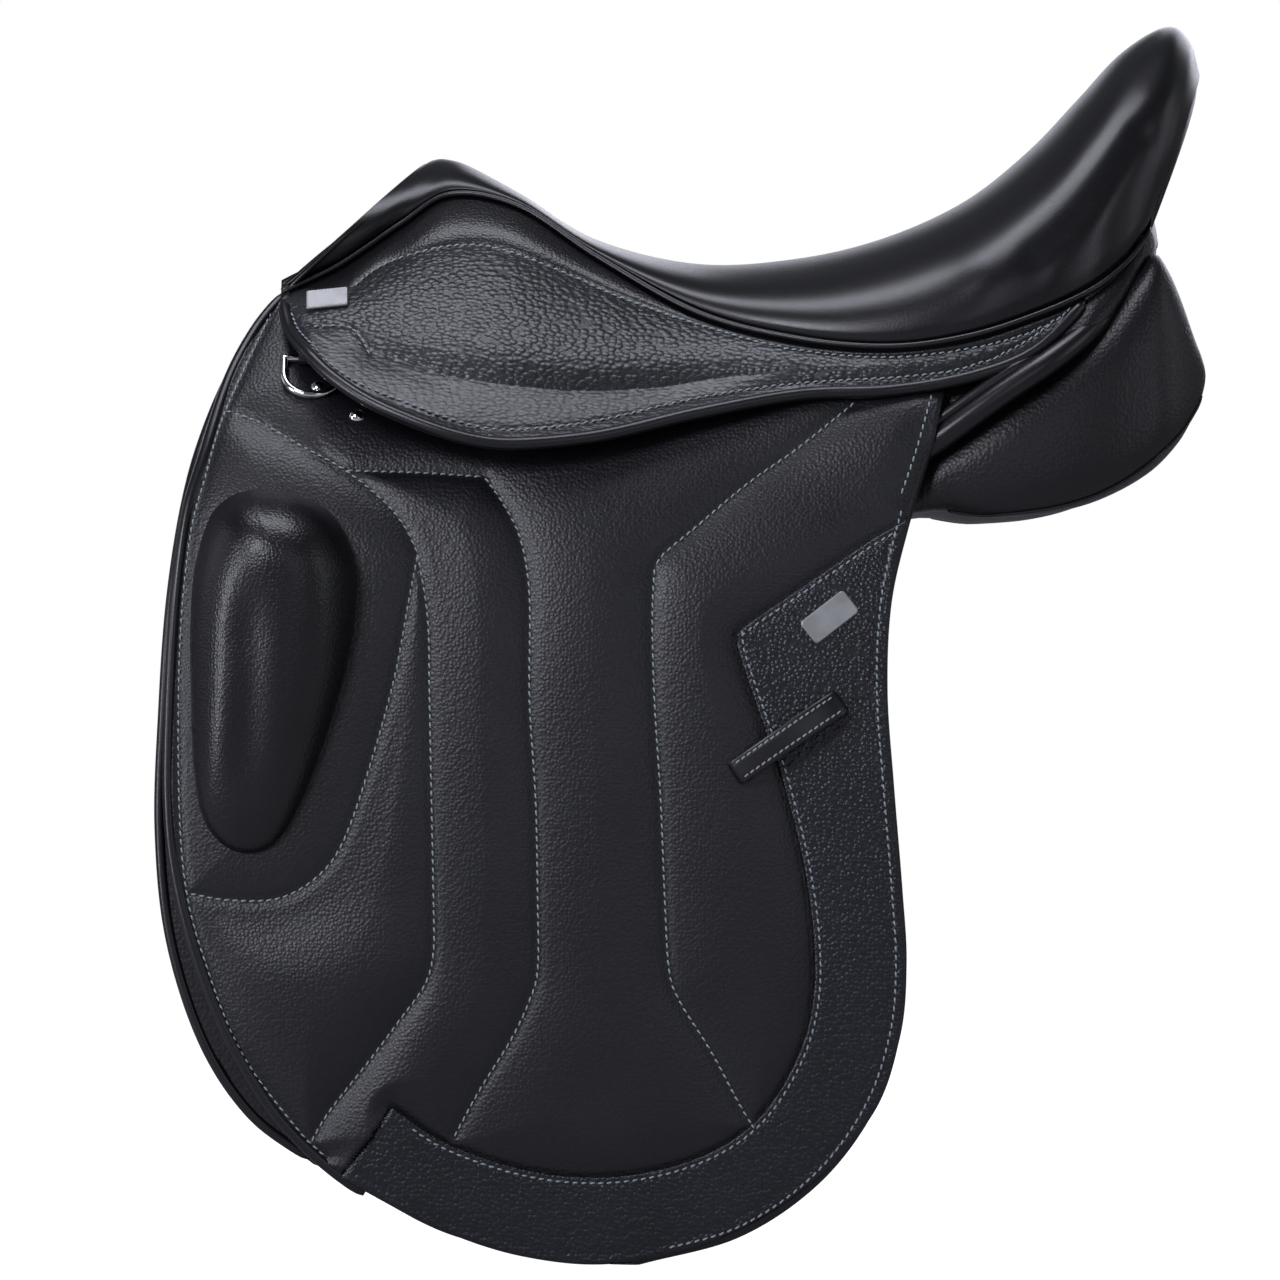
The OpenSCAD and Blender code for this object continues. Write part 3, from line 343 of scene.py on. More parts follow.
# Its fold: a wide dip with a crease in it, the flare below it, and between which x they come in and fade
SKIRT_DIP, SKIRT_DIP_W, SKIRT_CREASE, SKIRT_CREASE_W = 2.4, 9.0, 1.0, 1.6
SKIRT_FOLD_HEAD, SKIRT_FOLD_TAIL = (-158, -138), (75, 15)
SKIRT_FLARE, SKIRT_FLARE_POWER, SKIRT_FLARE_HEAD, SKIRT_BAND_LEAST = 9.0, 2.2, (-194, -178), 8
# Its upper band: a roll of at most this height, as a share of the band's breadth
SKIRT_TOP_ROLL, SKIRT_TOP_SHARE, SKIRT_TOP_LEAST, SKIRT_TOP_HEAD = 4.5, 0.17, 3, (-176, -156)
# Its thickness at the lower edge, the rounding of that edge, and the tuck under the seat, rear and front
SKIRT_STEP_IN, SKIRT_LOW_DEPTH = 1.0, 3.0
SKIRT_EDGE_ROUND, SKIRT_EDGE_SHARE = 2.6, 0.04
SKIRT_TUCK_IN, SKIRT_TUCK_UP, SKIRT_TUCK_FRONT = (8, 10), (5, 10), (-100, -160)
SKIRT_TUCK_ROWS, SKIRT_TUCK_LAST = 4, 0.2
# Its rolled edge: first point along the lower edge, points that it goes up at the rear end, and its shift
SKIRT_ROLL_FROM, SKIRT_ROLL_END, SKIRT_ROLL_SHIFT = 4, slice(4, 60, 8), (0, 2.2, 1.6)

# Blank plates: length, height, corner and depth, and how they turn in the side view
SKIRT_PLATE_SIZE, SKIRT_PLATE_TURN = (20.5, 11.2, 0.9, 1.4), 1
SKIRT_PLATE_BED, SKIRT_PLATE_LEAN, SKIRT_PLATE_SINK = (9.5, 5.3), 0.6, 0.2
FLAP_PLATE_SIZE, FLAP_PLATE_TURN, FLAP_PLATE_SINK = (26.5, 13.4, 2.0, 1.1), 38, 0.05
PLATE_BEVEL = ((0, 0), (0, 0.6), (0.25, 0.9), (0.6, 1), (0.9, 1))

# Seat: its folds with their height and width, the tuck at its seam, and the welt in that seam
SEAT_FOLDS = [(SEAT_FOLD, 1.9, 15), (SEAT_HOLLOW, -1.4, 8), (SEAT_LESSER_FOLD, 1.0, 9)]
SEAT_TUCK, SEAT_TUCK_FROM = 1.6, 0.95
SEAT_WELT_SHORT, SEAT_WELT_OUT, SEAT_WELT_UP = 0.3, 0.6, 0.4

# Facings of the pommel and the cantle
FACING_LEATHER = 3
POMMEL_BULGE, POMMEL_NARROW, POMMEL_FALL, POMMEL_UNDER = 8.0, 0.82, (2, 0, -22), 1.0
# Powers of the pommel's bulge down it and across it, and the share of its fall that is lost at its corners
POMMEL_BULGE_DOWN, POMMEL_BULGE_ACROSS, POMMEL_CORNER_LOSS = 0.7, 12, 0.8
# How far across the seat the cantle's facing reaches, of 1, and the drop of its sides
CANTLE_ACROSS, CANTLE_SIDE_DROP = 0.985, 6

# Rear roll: its last point, where it draws in, and the step that its direction is taken over
ROLL_REAR = len(ROLL_LINE) - 1
ROLL_DRAW_SPAN, ROLL_NEAR = (2.6, 5.0), 0.05
# Thin roll above it: place along it, distance and way in, then the way of that distance as x and z
UPPER_ROLL = [(0.6, 8.2, 1.0), (2.4, 7.0, 2.2), (3.2, 5.0, 7.0)]
UPPER_ROLL_WAY, UPPER_ROLL_R = (-0.35, 0.92), 3.4

# Panel: way in from its face at the sweat flap, squareness and spacing of its sections, how its rear end
# comes in and narrows, and the welt along it
PANEL_FACE_IN, PANEL_SQUARE, PANEL_SPACING = 0.9, 0.66, 0.9
PANEL_END_FADE, PANEL_END_NARROW = 30, 0.97
PANEL_WELT_RINGS = slice(34, -8)
PANEL_WELT_SHIFT, PANEL_WELT_R = (0, -0.3, -0.2), 0.9

# Gusset: places along the seat and along the roll that it joins, where it goes over the roll, and its two
# edges before and after that
GUSSET_ROUTE = [(7.6, 0.9), (9.6, 2.5), (SEAT_LAST, 5.7)]
GUSSET_OVER, GUSSET_SWELL, GUSSET_LEATHER = (9.4, 11.2), (-4, 2.6), 2.5
GUSSET_LOW_OUT, GUSSET_LOW_UP = (-3.5, 5.2), (3.0, -3.2)
GUSSET_TOP_FORE, GUSSET_TOP_IN, GUSSET_TOP_DROP = 4, (9, 2.2), 3

# Leather's finish: how far its grain wanders, and how much it is scuffed
GRAIN_WANDER, SCUFFS = 1.3, 0.2


# Curves and surfaces

def at(points, place):
    """Points of the smooth curve through a list of points, at places counted in points."""
    knots = np.asarray(points, float)
    if knots.ndim == 1:
        return at(knots[:, None], place)[..., 0]
    last = len(knots) - 1
    place = np.asarray(place, float)
    i = np.clip(np.floor(place).astype(int), 0, last - 1)
    t = (place - i)[..., None]
    before = np.where((i > 0)[..., None], knots[np.maximum(i - 1, 0)], 2 * knots[0] - knots[1])
    beyond = 2 * knots[last] - knots[last - 1]
    after = np.where((i < last - 1)[..., None], knots[np.minimum(i + 2, last)], beyond)
    a, b = knots[i], knots[i + 1]
    return 0.5 * (2 * a + (b - before) * t + (2 * before - 5 * a + 4 * b - after) * t ** 2
                  + (3 * a - before - 3 * b + after) * t ** 3)


def on(points, share):
    """The same, at shares of the curve from 0 to 1."""
    return at(points, np.asarray(share, float) * (len(points) - 1))


def mix(a, b, t):
    return a + (b - a) * t


def ease(t):
    c = np.clip(t, 0, 1)
    return c * c * (3 - 2 * c)


def ramp(value, start, end):
    """Smooth step from 0 at the start to 1 at the end."""
    return ease((value - start) / (end - start))


def swell(distance, width):
    """Bell that falls from 1 to nothing over a few widths."""
    return np.exp(-(distance / width) ** 2)


def unit(v):
    return v / np.maximum(np.linalg.norm(v, axis=-1, keepdims=True), TINY)


def table_value(table, key):
    """Smooth value at a key, from pairs of key and value in rising order."""
    keys, values = np.array(table, float).T
    slopes = np.gradient(values)
    slopes[1:-1] = (values[2:] - values[:-2]) / (keys[2:] - keys[:-2])
    slopes[0] = (values[1] - values[0]) / (keys[1] - keys[0])
    slopes[-1] = (values[-1] - values[-2]) / (keys[-1] - keys[-2])
    i = np.clip(np.searchsorted(keys, key, side="right") - 1, 0, len(keys) - 2)
    step = keys[i + 1] - keys[i]
    t = (key - keys[i]) / step
    a, b = slopes[i] * step, slopes[i + 1] * step
    rise = values[i + 1] - values[i]
    return values[i] + a * t + (3 * rise - 2 * a - b) * t ** 2 + (a + b - 2 * rise) * t ** 3


def drape(x, z):
    """Half breadth of the flap's inner face."""
    x, z = np.asarray(x, float), np.asarray(z, float)
    return (table_value(SIDE_PROFILE, z) - WRAP_IN * (np.maximum(0, WRAP_START - x) / WRAP_REACH) ** 2
            + FLARE_OUT * ease((x - FLARE_START) / WRAP_REACH) * ease(z / FLARE_FADE))


def off_side(x, z, out):
    """Points that lie a distance outside the flap's inner face, on the near side."""
    x, z = np.asarray(x, float), np.asarray(z, float)
    slope = (drape(x, z + 1) - drape(x, z - 1)) / 2
    length = np.sqrt(1 + slope ** 2)
    return np.stack([x + 0 * z, -drape(x, z) - out / length, z - out * slope / length], -1)


def seat_point(a, b):
    """Seat surface: a runs along the seat in stations, b across it from -1 to 1."""
    ridge, edge = at(SEAT_RIDGE, a), at(SEAT_EDGE, a)
    power = 2 / at(SEAT_SQUARE, a)
    turn = np.minimum(1, np.abs(b)) * math.pi / 2
    across = np.sin(turn) ** power
    drop = 1 - np.maximum(np.cos(turn), 0) ** power
    return np.stack([mix(ridge[..., 0], edge[..., 0], drop), np.sign(b) * edge[..., 1] * across,
                     mix(ridge[..., 1], edge[..., 2], drop)], -1)


def skirt_seam(a):
    p = at(SEAT_EDGE, a)
    return np.stack([p[..., 0], -p[..., 1] - SKIRT_SEAM_OUT, p[..., 2] - SKIRT_SEAM_DROP], -1)


def skirt_low(a):
    p = at(SKIRT_EDGE, a)
    stand = FLAP_LEATHER + SKIRT_DEPTH + REST_GAP + SKIRT_STAND * at(SKIRT_LIFT, a)
    on_flap = drape(p[..., 0], p[..., 1]) + stand
    past_seat = at(SEAT_EDGE, a)[..., 1] + SKIRT_PAST_SEAT
    return np.stack([p[..., 0], -np.maximum(on_flap, past_seat), p[..., 1]], -1)


def skirt_point(a, b):
    """Skirt surface: a is the seat station, b runs from the seam to the lower edge."""
    p = mix(skirt_seam(a), skirt_low(a), b[..., None])
    lift = at(SKIRT_LIFT, a)
    p[..., 1] -= SKIRT_BULGE * np.sin(np.pi * np.clip(b, 0, 1)) * lift
    return p


def skirt_edge_z(x):
    """Height of the skirt's lower edge in the side view."""
    return np.interp(x, *np.array(SKIRT_EDGE, float).T)


def polyline(points, count=60):
    return on(points, np.linspace(0, 1, count))


def distance_to(line, x, z):
    """Distance in the side view from points to a line of points."""
    q = np.stack([x, z], -1).reshape(-1, 2)
    best = np.full(len(q), FAR)
    for a, b in zip(line[:-1], line[1:]):
        ab = b - a
        t = np.clip(((q - a) @ ab) / max(ab @ ab, TINY), 0, 1)
        best = np.minimum(best, np.linalg.norm(q - a - t[:, None] * ab, axis=1))
    return best.reshape(np.shape(x))


def nearest(lines, x, z):
    """Distance in the side view to the nearest of several lines."""
    return np.min([distance_to(line, x, z) for line in lines], axis=0)


def inside(outline, x, z):
    """Whether points of the side view lie inside a closed outline."""
    x0, z0 = outline.T
    x1, z1 = np.roll(outline, -1, axis=0).T
    hit = np.zeros(np.shape(x), bool)
    for i in range(len(outline)):
        if z0[i] == z1[i]:
            continue
        crosses = (z0[i] > z) != (z1[i] > z)
        hit ^= crosses & (x < x0[i] + (z - z0[i]) * (x1[i] - x0[i]) / (z1[i] - z0[i]))
    return hit


def inset(line, d):
    """A line of the side view, moved to its left by d."""
    along = unit(np.gradient(line, axis=0))
    return line + d * np.stack([-along[:, 1], along[:, 0]], -1)


def evenly(path, step):
    """Points on a path at equal steps of its length."""
    reach = np.concatenate([[0], np.cumsum(np.linalg.norm(np.diff(path, axis=0), axis=1))])
    places = np.arange(step / 2, reach[-1], step)
    return np.stack([np.interp(places, reach, path[:, k]) for k in range(path.shape[1])], -1)


# Meshes

def place_object(name, data):
    obj = bpy.data.objects.new(name, data)
    bpy.context.scene.collection.objects.link(obj)
    return obj


class Shape:
    """Points in millimetres and faces, with joins of further shapes."""

    def __init__(self):
        self.points, self.faces, self.count = [], [], 0

    def add(self, points, faces):
        points = np.asarray(points, float).reshape(-1, 3)
        self.points.append(points)
        self.faces += [tuple(int(i) + self.count for i in f) for f in faces]
        self.count += len(points)
        return self

    def piece(self, name, hand=1):
        points = np.concatenate(self.points) * MM * np.array([1, hand, 1])
        faces = self.faces if hand == 1 else [f[::-1] for f in self.faces]
        mesh = bpy.data.meshes.new(name)
        mesh.from_pydata(points.tolist(), [], faces)
        mesh.polygons.foreach_set("use_smooth", [True] * len(faces))
        mesh.update()
        return place_object(name, mesh)


def grid_faces(rows, cols, base=0, flip=False):
    p = (np.arange(rows - 1)[:, None] * cols + np.arange(cols - 1)[None, :]).ravel() + base
    quads = np.stack([p, p + 1, p + cols + 1, p + cols], -1)
    return quads[:, ::-1] if flip else quads


def turned_out(points, faces):
    """Faces turned so that the closed shape's volume is positive."""
    tri = np.array([(f[0], f[i], f[i + 1]) for f in faces for i in range(1, len(f) - 1)])
    p = points[tri]
    volume = np.einsum("ij,ij->i", p[:, 0], np.cross(p[:, 1], p[:, 2])).sum()
    return faces if volume > 0 else [tuple(f)[::-1] for f in faces]


def shell(outer, inner):
    """Closed shape between two grids of the same size."""
    rows, cols = outer.shape[:2]
    n = rows * cols
    rim = ([c for c in range(cols)] + [r * cols + cols - 1 for r in range(1, rows)]
           + [n - 1 - c for c in range(1, cols)] + [(rows - 1 - r) * cols for r in range(1, rows - 1)])
    around = [(i, i + n, j + n, j) for i, j in zip(rim, rim[1:] + rim[:1])]
    faces = [tuple(f) for f in grid_faces(rows, cols)]
    faces += [tuple(f) for f in grid_faces(rows, cols, n, True)] + around
    points = np.concatenate([outer.reshape(-1, 3), inner.reshape(-1, 3)])
    return Shape().add(points, turned_out(points, faces))


def ring_faces(m, k):
    """Faces between m rings of k points each."""
    return [(i * k + j, i * k + (j + 1) % k, (i + 1) * k + (j + 1) % k, (i + 1) * k + j)
            for i in range(m - 1) for j in range(k)]


def loft(rings):
    """Closed shape through a list of rings, with a fan at each end."""
    m, k = rings.shape[:2]
    faces = ring_faces(m, k)
    points = np.concatenate([rings.reshape(-1, 3), [rings[0].mean(0)], [rings[-1].mean(0)]])
    for j in range(k):
        faces.append((j, m * k, (j + 1) % k))
        faces.append(((m - 1) * k + j, (m - 1) * k + (j + 1) % k, m * k + 1))
    return Shape().add(points, turned_out(points, faces))


def tube(path, radius, side=(0, 1, 0), around=14):
    """Round roll along a path, drawn in at both ends."""
    along = unit(np.gradient(path, axis=0))
    p = unit(np.cross(along, side))
    q = np.cross(along, p)
    turn = np.linspace(0, 2 * np.pi, around, endpoint=False)
    share = np.linspace(0, 1, len(path))
    from_end = np.minimum(1, np.minimum(share, 1 - share) * len(path) / TUBE_END_RINGS)
    round_off = np.sqrt(np.clip(1 - (1 - from_end) ** 2, 0.02, 1))
    r = radius * mix(1, round_off, TUBE_END_ROUND)
    rings = path[:, None, :] + r[:, None, None] * (np.cos(turn)[None, :, None] * p[:, None, :]
                                                   + np.sin(turn)[None, :, None] * q[:, None, :])
    return loft(rings)


def stitch_row(shape, path, outward, pitch=STITCH_PITCH):
    """Adds a row of stitches: short rounded threads, each a little across the seam."""
    both = evenly(np.concatenate([path, outward], 1), pitch)
    centre, up = both[:, :3], unit(both[:, 3:])
    along = unit(np.gradient(centre, axis=0))
    along = unit(along + STITCH_TILT * np.cross(up, along))
    across = np.cross(up, along)
    places, widths, stands = (np.array(STITCH_RINGS) * (STITCH_LENGTH / 2, STITCH_R, 1)).T
    turn = np.linspace(0, 2 * np.pi, STITCH_SIDES, endpoint=False)
    m, k = len(places), len(turn)
    faces = ring_faces(m, k) + [tuple(range(k))[::-1], tuple(range((m - 1) * k, m * k))]
    for c, u, a, s in zip(centre, up, along, across):
        rings = [c + a * d + u * h + w * (np.cos(turn)[:, None] * s + np.sin(turn)[:, None] * u)
                 for d, w, h in zip(places, widths, stands)]
        shape.add(np.concatenate(rings), faces)
    return shape


# Finishes

def group_tree(name, inputs, outputs):
    """Empty node group with named sockets, the values given to it and those it puts out."""
    tree = bpy.data.node_groups.new(name, "ShaderNodeTree")
    for label, kind, value in inputs:
        socket = tree.interface.new_socket(name=label, in_out="INPUT", socket_type=kind)
        socket.default_value = value
    for label in outputs:
        tree.interface.new_socket(name=label, in_out="OUTPUT", socket_type="NodeSocketFloat")
    return tree, tree.nodes.new("NodeGroupInput").outputs, tree.nodes.new("NodeGroupOutput").inputs


def feed(tree, socket, value):
    """Links a socket to the one given, or sets it to a plain value."""
    if isinstance(value, bpy.types.NodeSocket):
        tree.links.new(value, socket)
    else:
        socket.default_value = value


def node(tree, kind, inputs=None, **settings):
    """Node with its settings, its plain values and its links."""
    n = tree.nodes.new(kind)
    for key, value in settings.items():
        setattr(n, key, value)
    for label, value in (inputs or {}).items():
        feed(tree, n.inputs[label], value)
    return n


def math_node(tree, operation, *values, clamp=False):
    inputs = dict(enumerate(values))
    return node(tree, "ShaderNodeMath", inputs, operation=operation, use_clamp=clamp).outputs[0]


def vector_math(tree, operation, inputs):
    return node(tree, "ShaderNodeVectorMath", inputs, operation=operation).outputs[0]


def mask(tree, value, low, high):
    """Smooth mask from 0 to 1 as a value goes from low to high."""
    ends = {"Value": value, "From Min": low, "From Max": high}
    return node(tree, "ShaderNodeMapRange", ends, interpolation_type="SMOOTHSTEP").outputs["Result"]


def object_place(tree):
    return node(tree, "ShaderNodeTexCoord").outputs["Object"]


def noise(tree, place, scale, detail=2.0, roughness=0.5):
    values = {"Vector": place, "Scale": scale, "Detail": detail, "Roughness": roughness}
    return node(tree, "ShaderNodeTexNoise", values).outputs


def drawn_out(tree, place, scale):
    """Place scaled apart in each direction, for marks that run along a piece."""
    return node(tree, "ShaderNodeMapping", {"Vector": place, "Scale": scale}).outputs["Vector"]


def bands(tree, place, scale, distortion, direction):
    values = {"Vector": place, "Scale": scale, "Distortion": distortion}
    waves = node(tree, "ShaderNodeTexWave", values, wave_type="BANDS", bands_direction=direction)
    return waves.outputs["Fac"]


def new_finish(name):
    """New material, its node tree and the inputs of its surface."""
    m = bpy.data.materials.new(name)
    m.use_nodes = True
    return m, m.node_tree, m.node_tree.nodes["Principled BSDF"].inputs


def two_tones(tree, surface, dark, pale, share):
    """Base colour between a dark and a pale tone."""
    values = {"A": (*dark, 1), "B": (*pale, 1), "Factor": share}
    feed(tree, surface["Base Color"], node(tree, "ShaderNodeMix", values, data_type="RGBA").outputs["Result"])


def relief(tree, surface, height, strength, depth):
    """Fine relief of a surface, its depth in millimetres."""
    lift = node(tree, "ShaderNodeBump", {"Strength": strength, "Distance": depth * MM, "Height": height})
    feed(tree, surface["Normal"], lift.outputs["Normal"])


def grain_group():
    """Leather grain: rounded pebbles of uneven height, over fine pores and slow unevenness."""
    tree, given, put = group_tree(
        "leather_grain",
        [("Pebbles per metre", "NodeSocketFloat", 600.0), ("Crease", "NodeSocketFloat", 0.5),
         ("Pores", "NodeSocketFloat", 0.3), ("Stretch", "NodeSocketVector", (1.0, 1.0, 1.0))],
        ["Height", "Wear and sheen", "Tone"])
    place = object_place(tree)
    wander = vector_math(tree, "SCALE", {0: noise(tree, place, 120.0)["Color"], "Scale": GRAIN_WANDER * MM})
    laid = vector_math(tree, "MULTIPLY_ADD", {0: place, 1: given["Stretch"], 2: wander})
    cells = {"Vector": laid, "Scale": given["Pebbles per metre"], "Randomness": 0.8}
    apart = node(tree, "ShaderNodeTexVoronoi", cells, feature="F1").outputs["Distance"]
    pebble = math_node(tree, "MULTIPLY_ADD", math_node(tree, "MULTIPLY", apart, apart), -2.2, 1.0, clamp=True)
    rough = noise(tree, laid, math_node(tree, "MULTIPLY", given["Pebbles per metre"], 0.55))["Fac"]
    pores = noise(tree, place, 2600.0, 3.0)["Fac"]
    patches = noise(tree, place, 22.0, 4.0)["Fac"]
    uneven = math_node(tree, "MULTIPLY_ADD", rough, 0.3, math_node(tree, "MULTIPLY", pebble, 0.9))
    creased = math_node(tree, "MULTIPLY", uneven, given["Crease"])
    feed(tree, put["Height"], math_node(tree, "MULTIPLY_ADD", pores, given["Pores"], creased))
    # Pebble tops, which the finishes paint paler: partly wear, partly painted highlight, with painted shade
    # in the creases between them
    feed(tree, put["Wear and sheen"], pebble)
    feed(tree, put["Tone"], mask(tree, patches, 0.3, 0.7))
    return tree


def handling_group():
    """Faint scuffs of handling."""
    tree, given, put = group_tree("handling_marks", [("Scuffs", "NodeSocketFloat", 0.2)], ["Scuff"])
    marks = noise(tree, object_place(tree), 160.0, 6.0, 0.7)["Fac"]
    feed(tree, put["Scuff"], math_node(tree, "MULTIPLY", mask(tree, marks, 0.56, 0.78), given["Scuffs"]))
    return tree


GRAIN = grain_group()
HANDLING = handling_group()


def leather(name, dark, pale, rough, pebbles, crease, pores, bump, depth, coat=0.0, stretch=(1.0, 1.0, 1.0)):
    """Finished leather: two tones, its own grain and gloss."""
    m, tree, surface = new_finish(name)
    values = {"Pebbles per metre": pebbles, "Crease": crease, "Pores": pores, "Stretch": stretch}
    grain = node(tree, "ShaderNodeGroup", values, node_tree=GRAIN).outputs
    scuff = node(tree, "ShaderNodeGroup", {"Scuffs": SCUFFS}, node_tree=HANDLING).outputs["Scuff"]
    # Pebble tops painted paler and the creases between them darker: partly wear of the tops, partly painted
    # highlight on the tops and painted shade in the creases
    wear_and_sheen = math_node(tree, "MULTIPLY", grain["Wear and sheen"], 0.45)
    share = math_node(tree, "MULTIPLY_ADD", grain["Tone"], 0.55, wear_and_sheen, clamp=True)
    two_tones(tree, surface, dark, pale, share)
    polished = math_node(tree, "MULTIPLY_ADD", grain["Wear and sheen"], -0.07, rough + 0.05)
    feed(tree, surface["Roughness"], math_node(tree, "MULTIPLY_ADD", scuff, 0.3, polished))
    relief(tree, surface, grain["Height"], bump, depth)
    surface["Coat Weight"].default_value = coat
    surface["Coat Roughness"].default_value = 0.25
    return m


SEAT_LEATHER_FINISH = leather(
    "seat_smooth_leather", (0.0034, 0.0034, 0.0046), (0.0055, 0.0055, 0.0072), rough=0.30, pebbles=900,
    crease=0.25, pores=0.15, bump=0.2, depth=0.35, coat=0.04)
FLAP_FINISH = leather(
    "flap_grained_leather", (0.0042, 0.0042, 0.0058), (0.0085, 0.0085, 0.0113), rough=0.37, pebbles=560,
    crease=1.0, pores=0.12, bump=0.38, depth=0.36)
SKIRT_FINISH = leather(
    "skirt_pebbled_leather", (0.007, 0.0073, 0.0094), (0.027, 0.028, 0.032), rough=0.31, pebbles=330,
    crease=1.0, pores=0.08, bump=0.62, depth=0.6, stretch=(0.9, 1.0, 1.05))
SKIRT_BAND_FINISH = leather(
    "skirt_band_leather", (0.007, 0.0073, 0.0094), (0.021, 0.022, 0.026), rough=0.31, pebbles=420,
    crease=0.6, pores=0.08, bump=0.5, depth=0.5, stretch=(0.7, 1.0, 1.1))
BLOCK_FINISH = leather(
    "block_smooth_leather", (0.0028, 0.0028, 0.0038), (0.0046, 0.0046, 0.0062), rough=0.31, pebbles=600,
    crease=0.8, pores=0.15, bump=0.4, depth=0.4, coat=0.04)
GRIP_FINISH = leather(
    "grip_coarse_leather", (0.0024, 0.003, 0.0056), (0.0076, 0.0092, 0.0148), rough=0.25, pebbles=480,
    crease=1.0, pores=0.3, bump=0.65, depth=0.5, coat=0.06)
PANEL_FINISH = leather(
    "panel_soft_leather", (0.0032, 0.0032, 0.0043), (0.0056, 0.0056, 0.0073), rough=0.38, pebbles=480,
    crease=0.8, pores=0.15, bump=0.4, depth=0.4)
ROLL_FINISH = leather(
    "rolled_edge_leather", (0.0036, 0.0036, 0.0048), (0.006, 0.006, 0.0078), rough=0.30, pebbles=900,
    crease=0.3, pores=0.2, bump=0.2, depth=0.3, coat=0.05)
STRAP_FINISH = leather(
    "strap_bridle_leather", (0.0042, 0.0041, 0.005), (0.008, 0.0078, 0.009), rough=0.33, pebbles=1400,
    crease=0.3, pores=0.4, bump=0.25, depth=0.3, coat=0.08)


def thread_finish():
    """Waxed thread with its twist."""
    m, tree, surface = new_finish("waxed_thread")
    twist = bands(tree, object_place(tree), 900.0, 1.0, "DIAGONAL")
    # Colour follows the twist's relief: painted shade in its grooves, painted highlight on its crowns
    two_tones(tree, surface, (0.16, 0.195, 0.205), (0.42, 0.48, 0.50), twist)
    relief(tree, surface, twist, strength=0.4, depth=0.1)
    surface["Roughness"].default_value = 0.6
    return m


def drawn_group():
    """Drawing marks of metal: fine lines along its length and slow clouding."""
    tree, given, put = group_tree(
        "drawn_metal_marks", [("Polish", "NodeSocketFloat", 0.1), ("Spread", "NodeSocketFloat", 0.1)],
        ["Height", "Roughness", "Clouding"])
    place = object_place(tree)
    marks = noise(tree, drawn_out(tree, place, (40, 900, 900)), 4.0, 5.0)["Fac"]
    clouds = noise(tree, place, 90.0)["Fac"]
    spread = math_node(tree, "MULTIPLY", mask(tree, marks, 0.3, 0.7), given["Spread"])
    feed(tree, put["Height"], marks)
    feed(tree, put["Roughness"], math_node(tree, "ADD", spread, given["Polish"]))
    feed(tree, put["Clouding"], mask(tree, clouds, 0.35, 0.65))
    return tree


DRAWN = drawn_group()


def metal(name, dark, pale, rough, brushed=0.0, metallic=1.0):
    """Polished or brushed metal with faint drawing marks."""
    m, tree, surface = new_finish(name)
    values = {"Polish": rough, "Spread": 0.06 + 0.2 * brushed}
    marks = node(tree, "ShaderNodeGroup", values, node_tree=DRAWN).outputs
    two_tones(tree, surface, dark, pale, marks["Clouding"])
    feed(tree, surface["Roughness"], marks["Roughness"])
    surface["Metallic"].default_value = metallic
    relief(tree, surface, marks["Height"], strength=0.05 + 0.25 * brushed, depth=0.05)
    return m


def woven(name, dark, pale, threads):
    """Strained webbing: warp and weft over and under each other."""
    m, tree, surface = new_finish(name)
    place = object_place(tree)
    warp, weft = (bands(tree, place, threads, 0.4, direction) for direction in ("X", "Y"))
    height = math_node(tree, "MAXIMUM", warp, weft)
    # Colour follows the weave's relief: painted shade in the gaps between threads, painted highlight on the
    # threads that lie on top
    two_tones(tree, surface, dark, pale, height)
    surface["Roughness"].default_value = 0.85
    relief(tree, surface, height, strength=0.6, depth=0.4)
    return m


def wood_finish():
    """Laminated wood of the tree, stained dark."""
    m, tree, surface = new_finish("tree_beech")
    fibre = noise(tree, drawn_out(tree, object_place(tree), (8, 120, 120)), 6.0, 6.0)["Fac"]
    two_tones(tree, surface, (0.030, 0.018, 0.011), (0.085, 0.052, 0.030), fibre)
    surface["Roughness"].default_value = 0.55
    relief(tree, surface, fibre, strength=0.2, depth=0.2)
    return m


THREAD = thread_finish()
CHROME = metal("polished_steel", (0.78, 0.79, 0.81), (0.84, 0.85, 0.87), 0.07)
BAR_STEEL = metal("forged_bar_steel", (0.44, 0.45, 0.47), (0.54, 0.55, 0.57), 0.28, brushed=1.0)
PLATE_STEEL = metal("satin_plate", (0.28, 0.285, 0.29), (0.35, 0.355, 0.36), 0.34, brushed=0.2, metallic=0.4)
WEBBING = woven("strained_webbing", (0.20, 0.19, 0.16), (0.42, 0.40, 0.35), 260)
WOOD = wood_finish()


# Placing of pieces

def dress(piece, finish, body, replaces=()):
    """Gives a piece its finish, the body it rides on and the CAD nodes it stands for."""
    piece.data.materials.append(finish)
    if body:
        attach(piece, body)
    if replaces:
        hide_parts(*replaces)
    return piece


def pair(name, shape, finish, body=None, replaces=(), bend=None):
    """Makes a piece on the near side and its mirror image on the off side."""
    made = []
    for side, hand in SIDES:
        piece = shape.piece(f"{name}_{side}", hand)
        rides = None if bend else (f"{body}_{side}" if body else ROOT)
        dress(piece, finish, rides, [f"{n}_{side}" for n in replaces])
        if bend:
            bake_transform(piece)
        made.append(piece)
    return made


def bend_span(first, last, y, half):
    """Points a half height above and below the middle of a bend, square to its line."""
    slope = (last[1] - first[1]) / (last[0] - first[0])
    middle = np.array([(first[0] + last[0]) / 2, y, (first[1] + last[1]) / 2])
    across = np.array([-slope, 0, 1]) / math.hypot(slope, 1)
    return tuple(middle + half * across), tuple(middle - half * across)


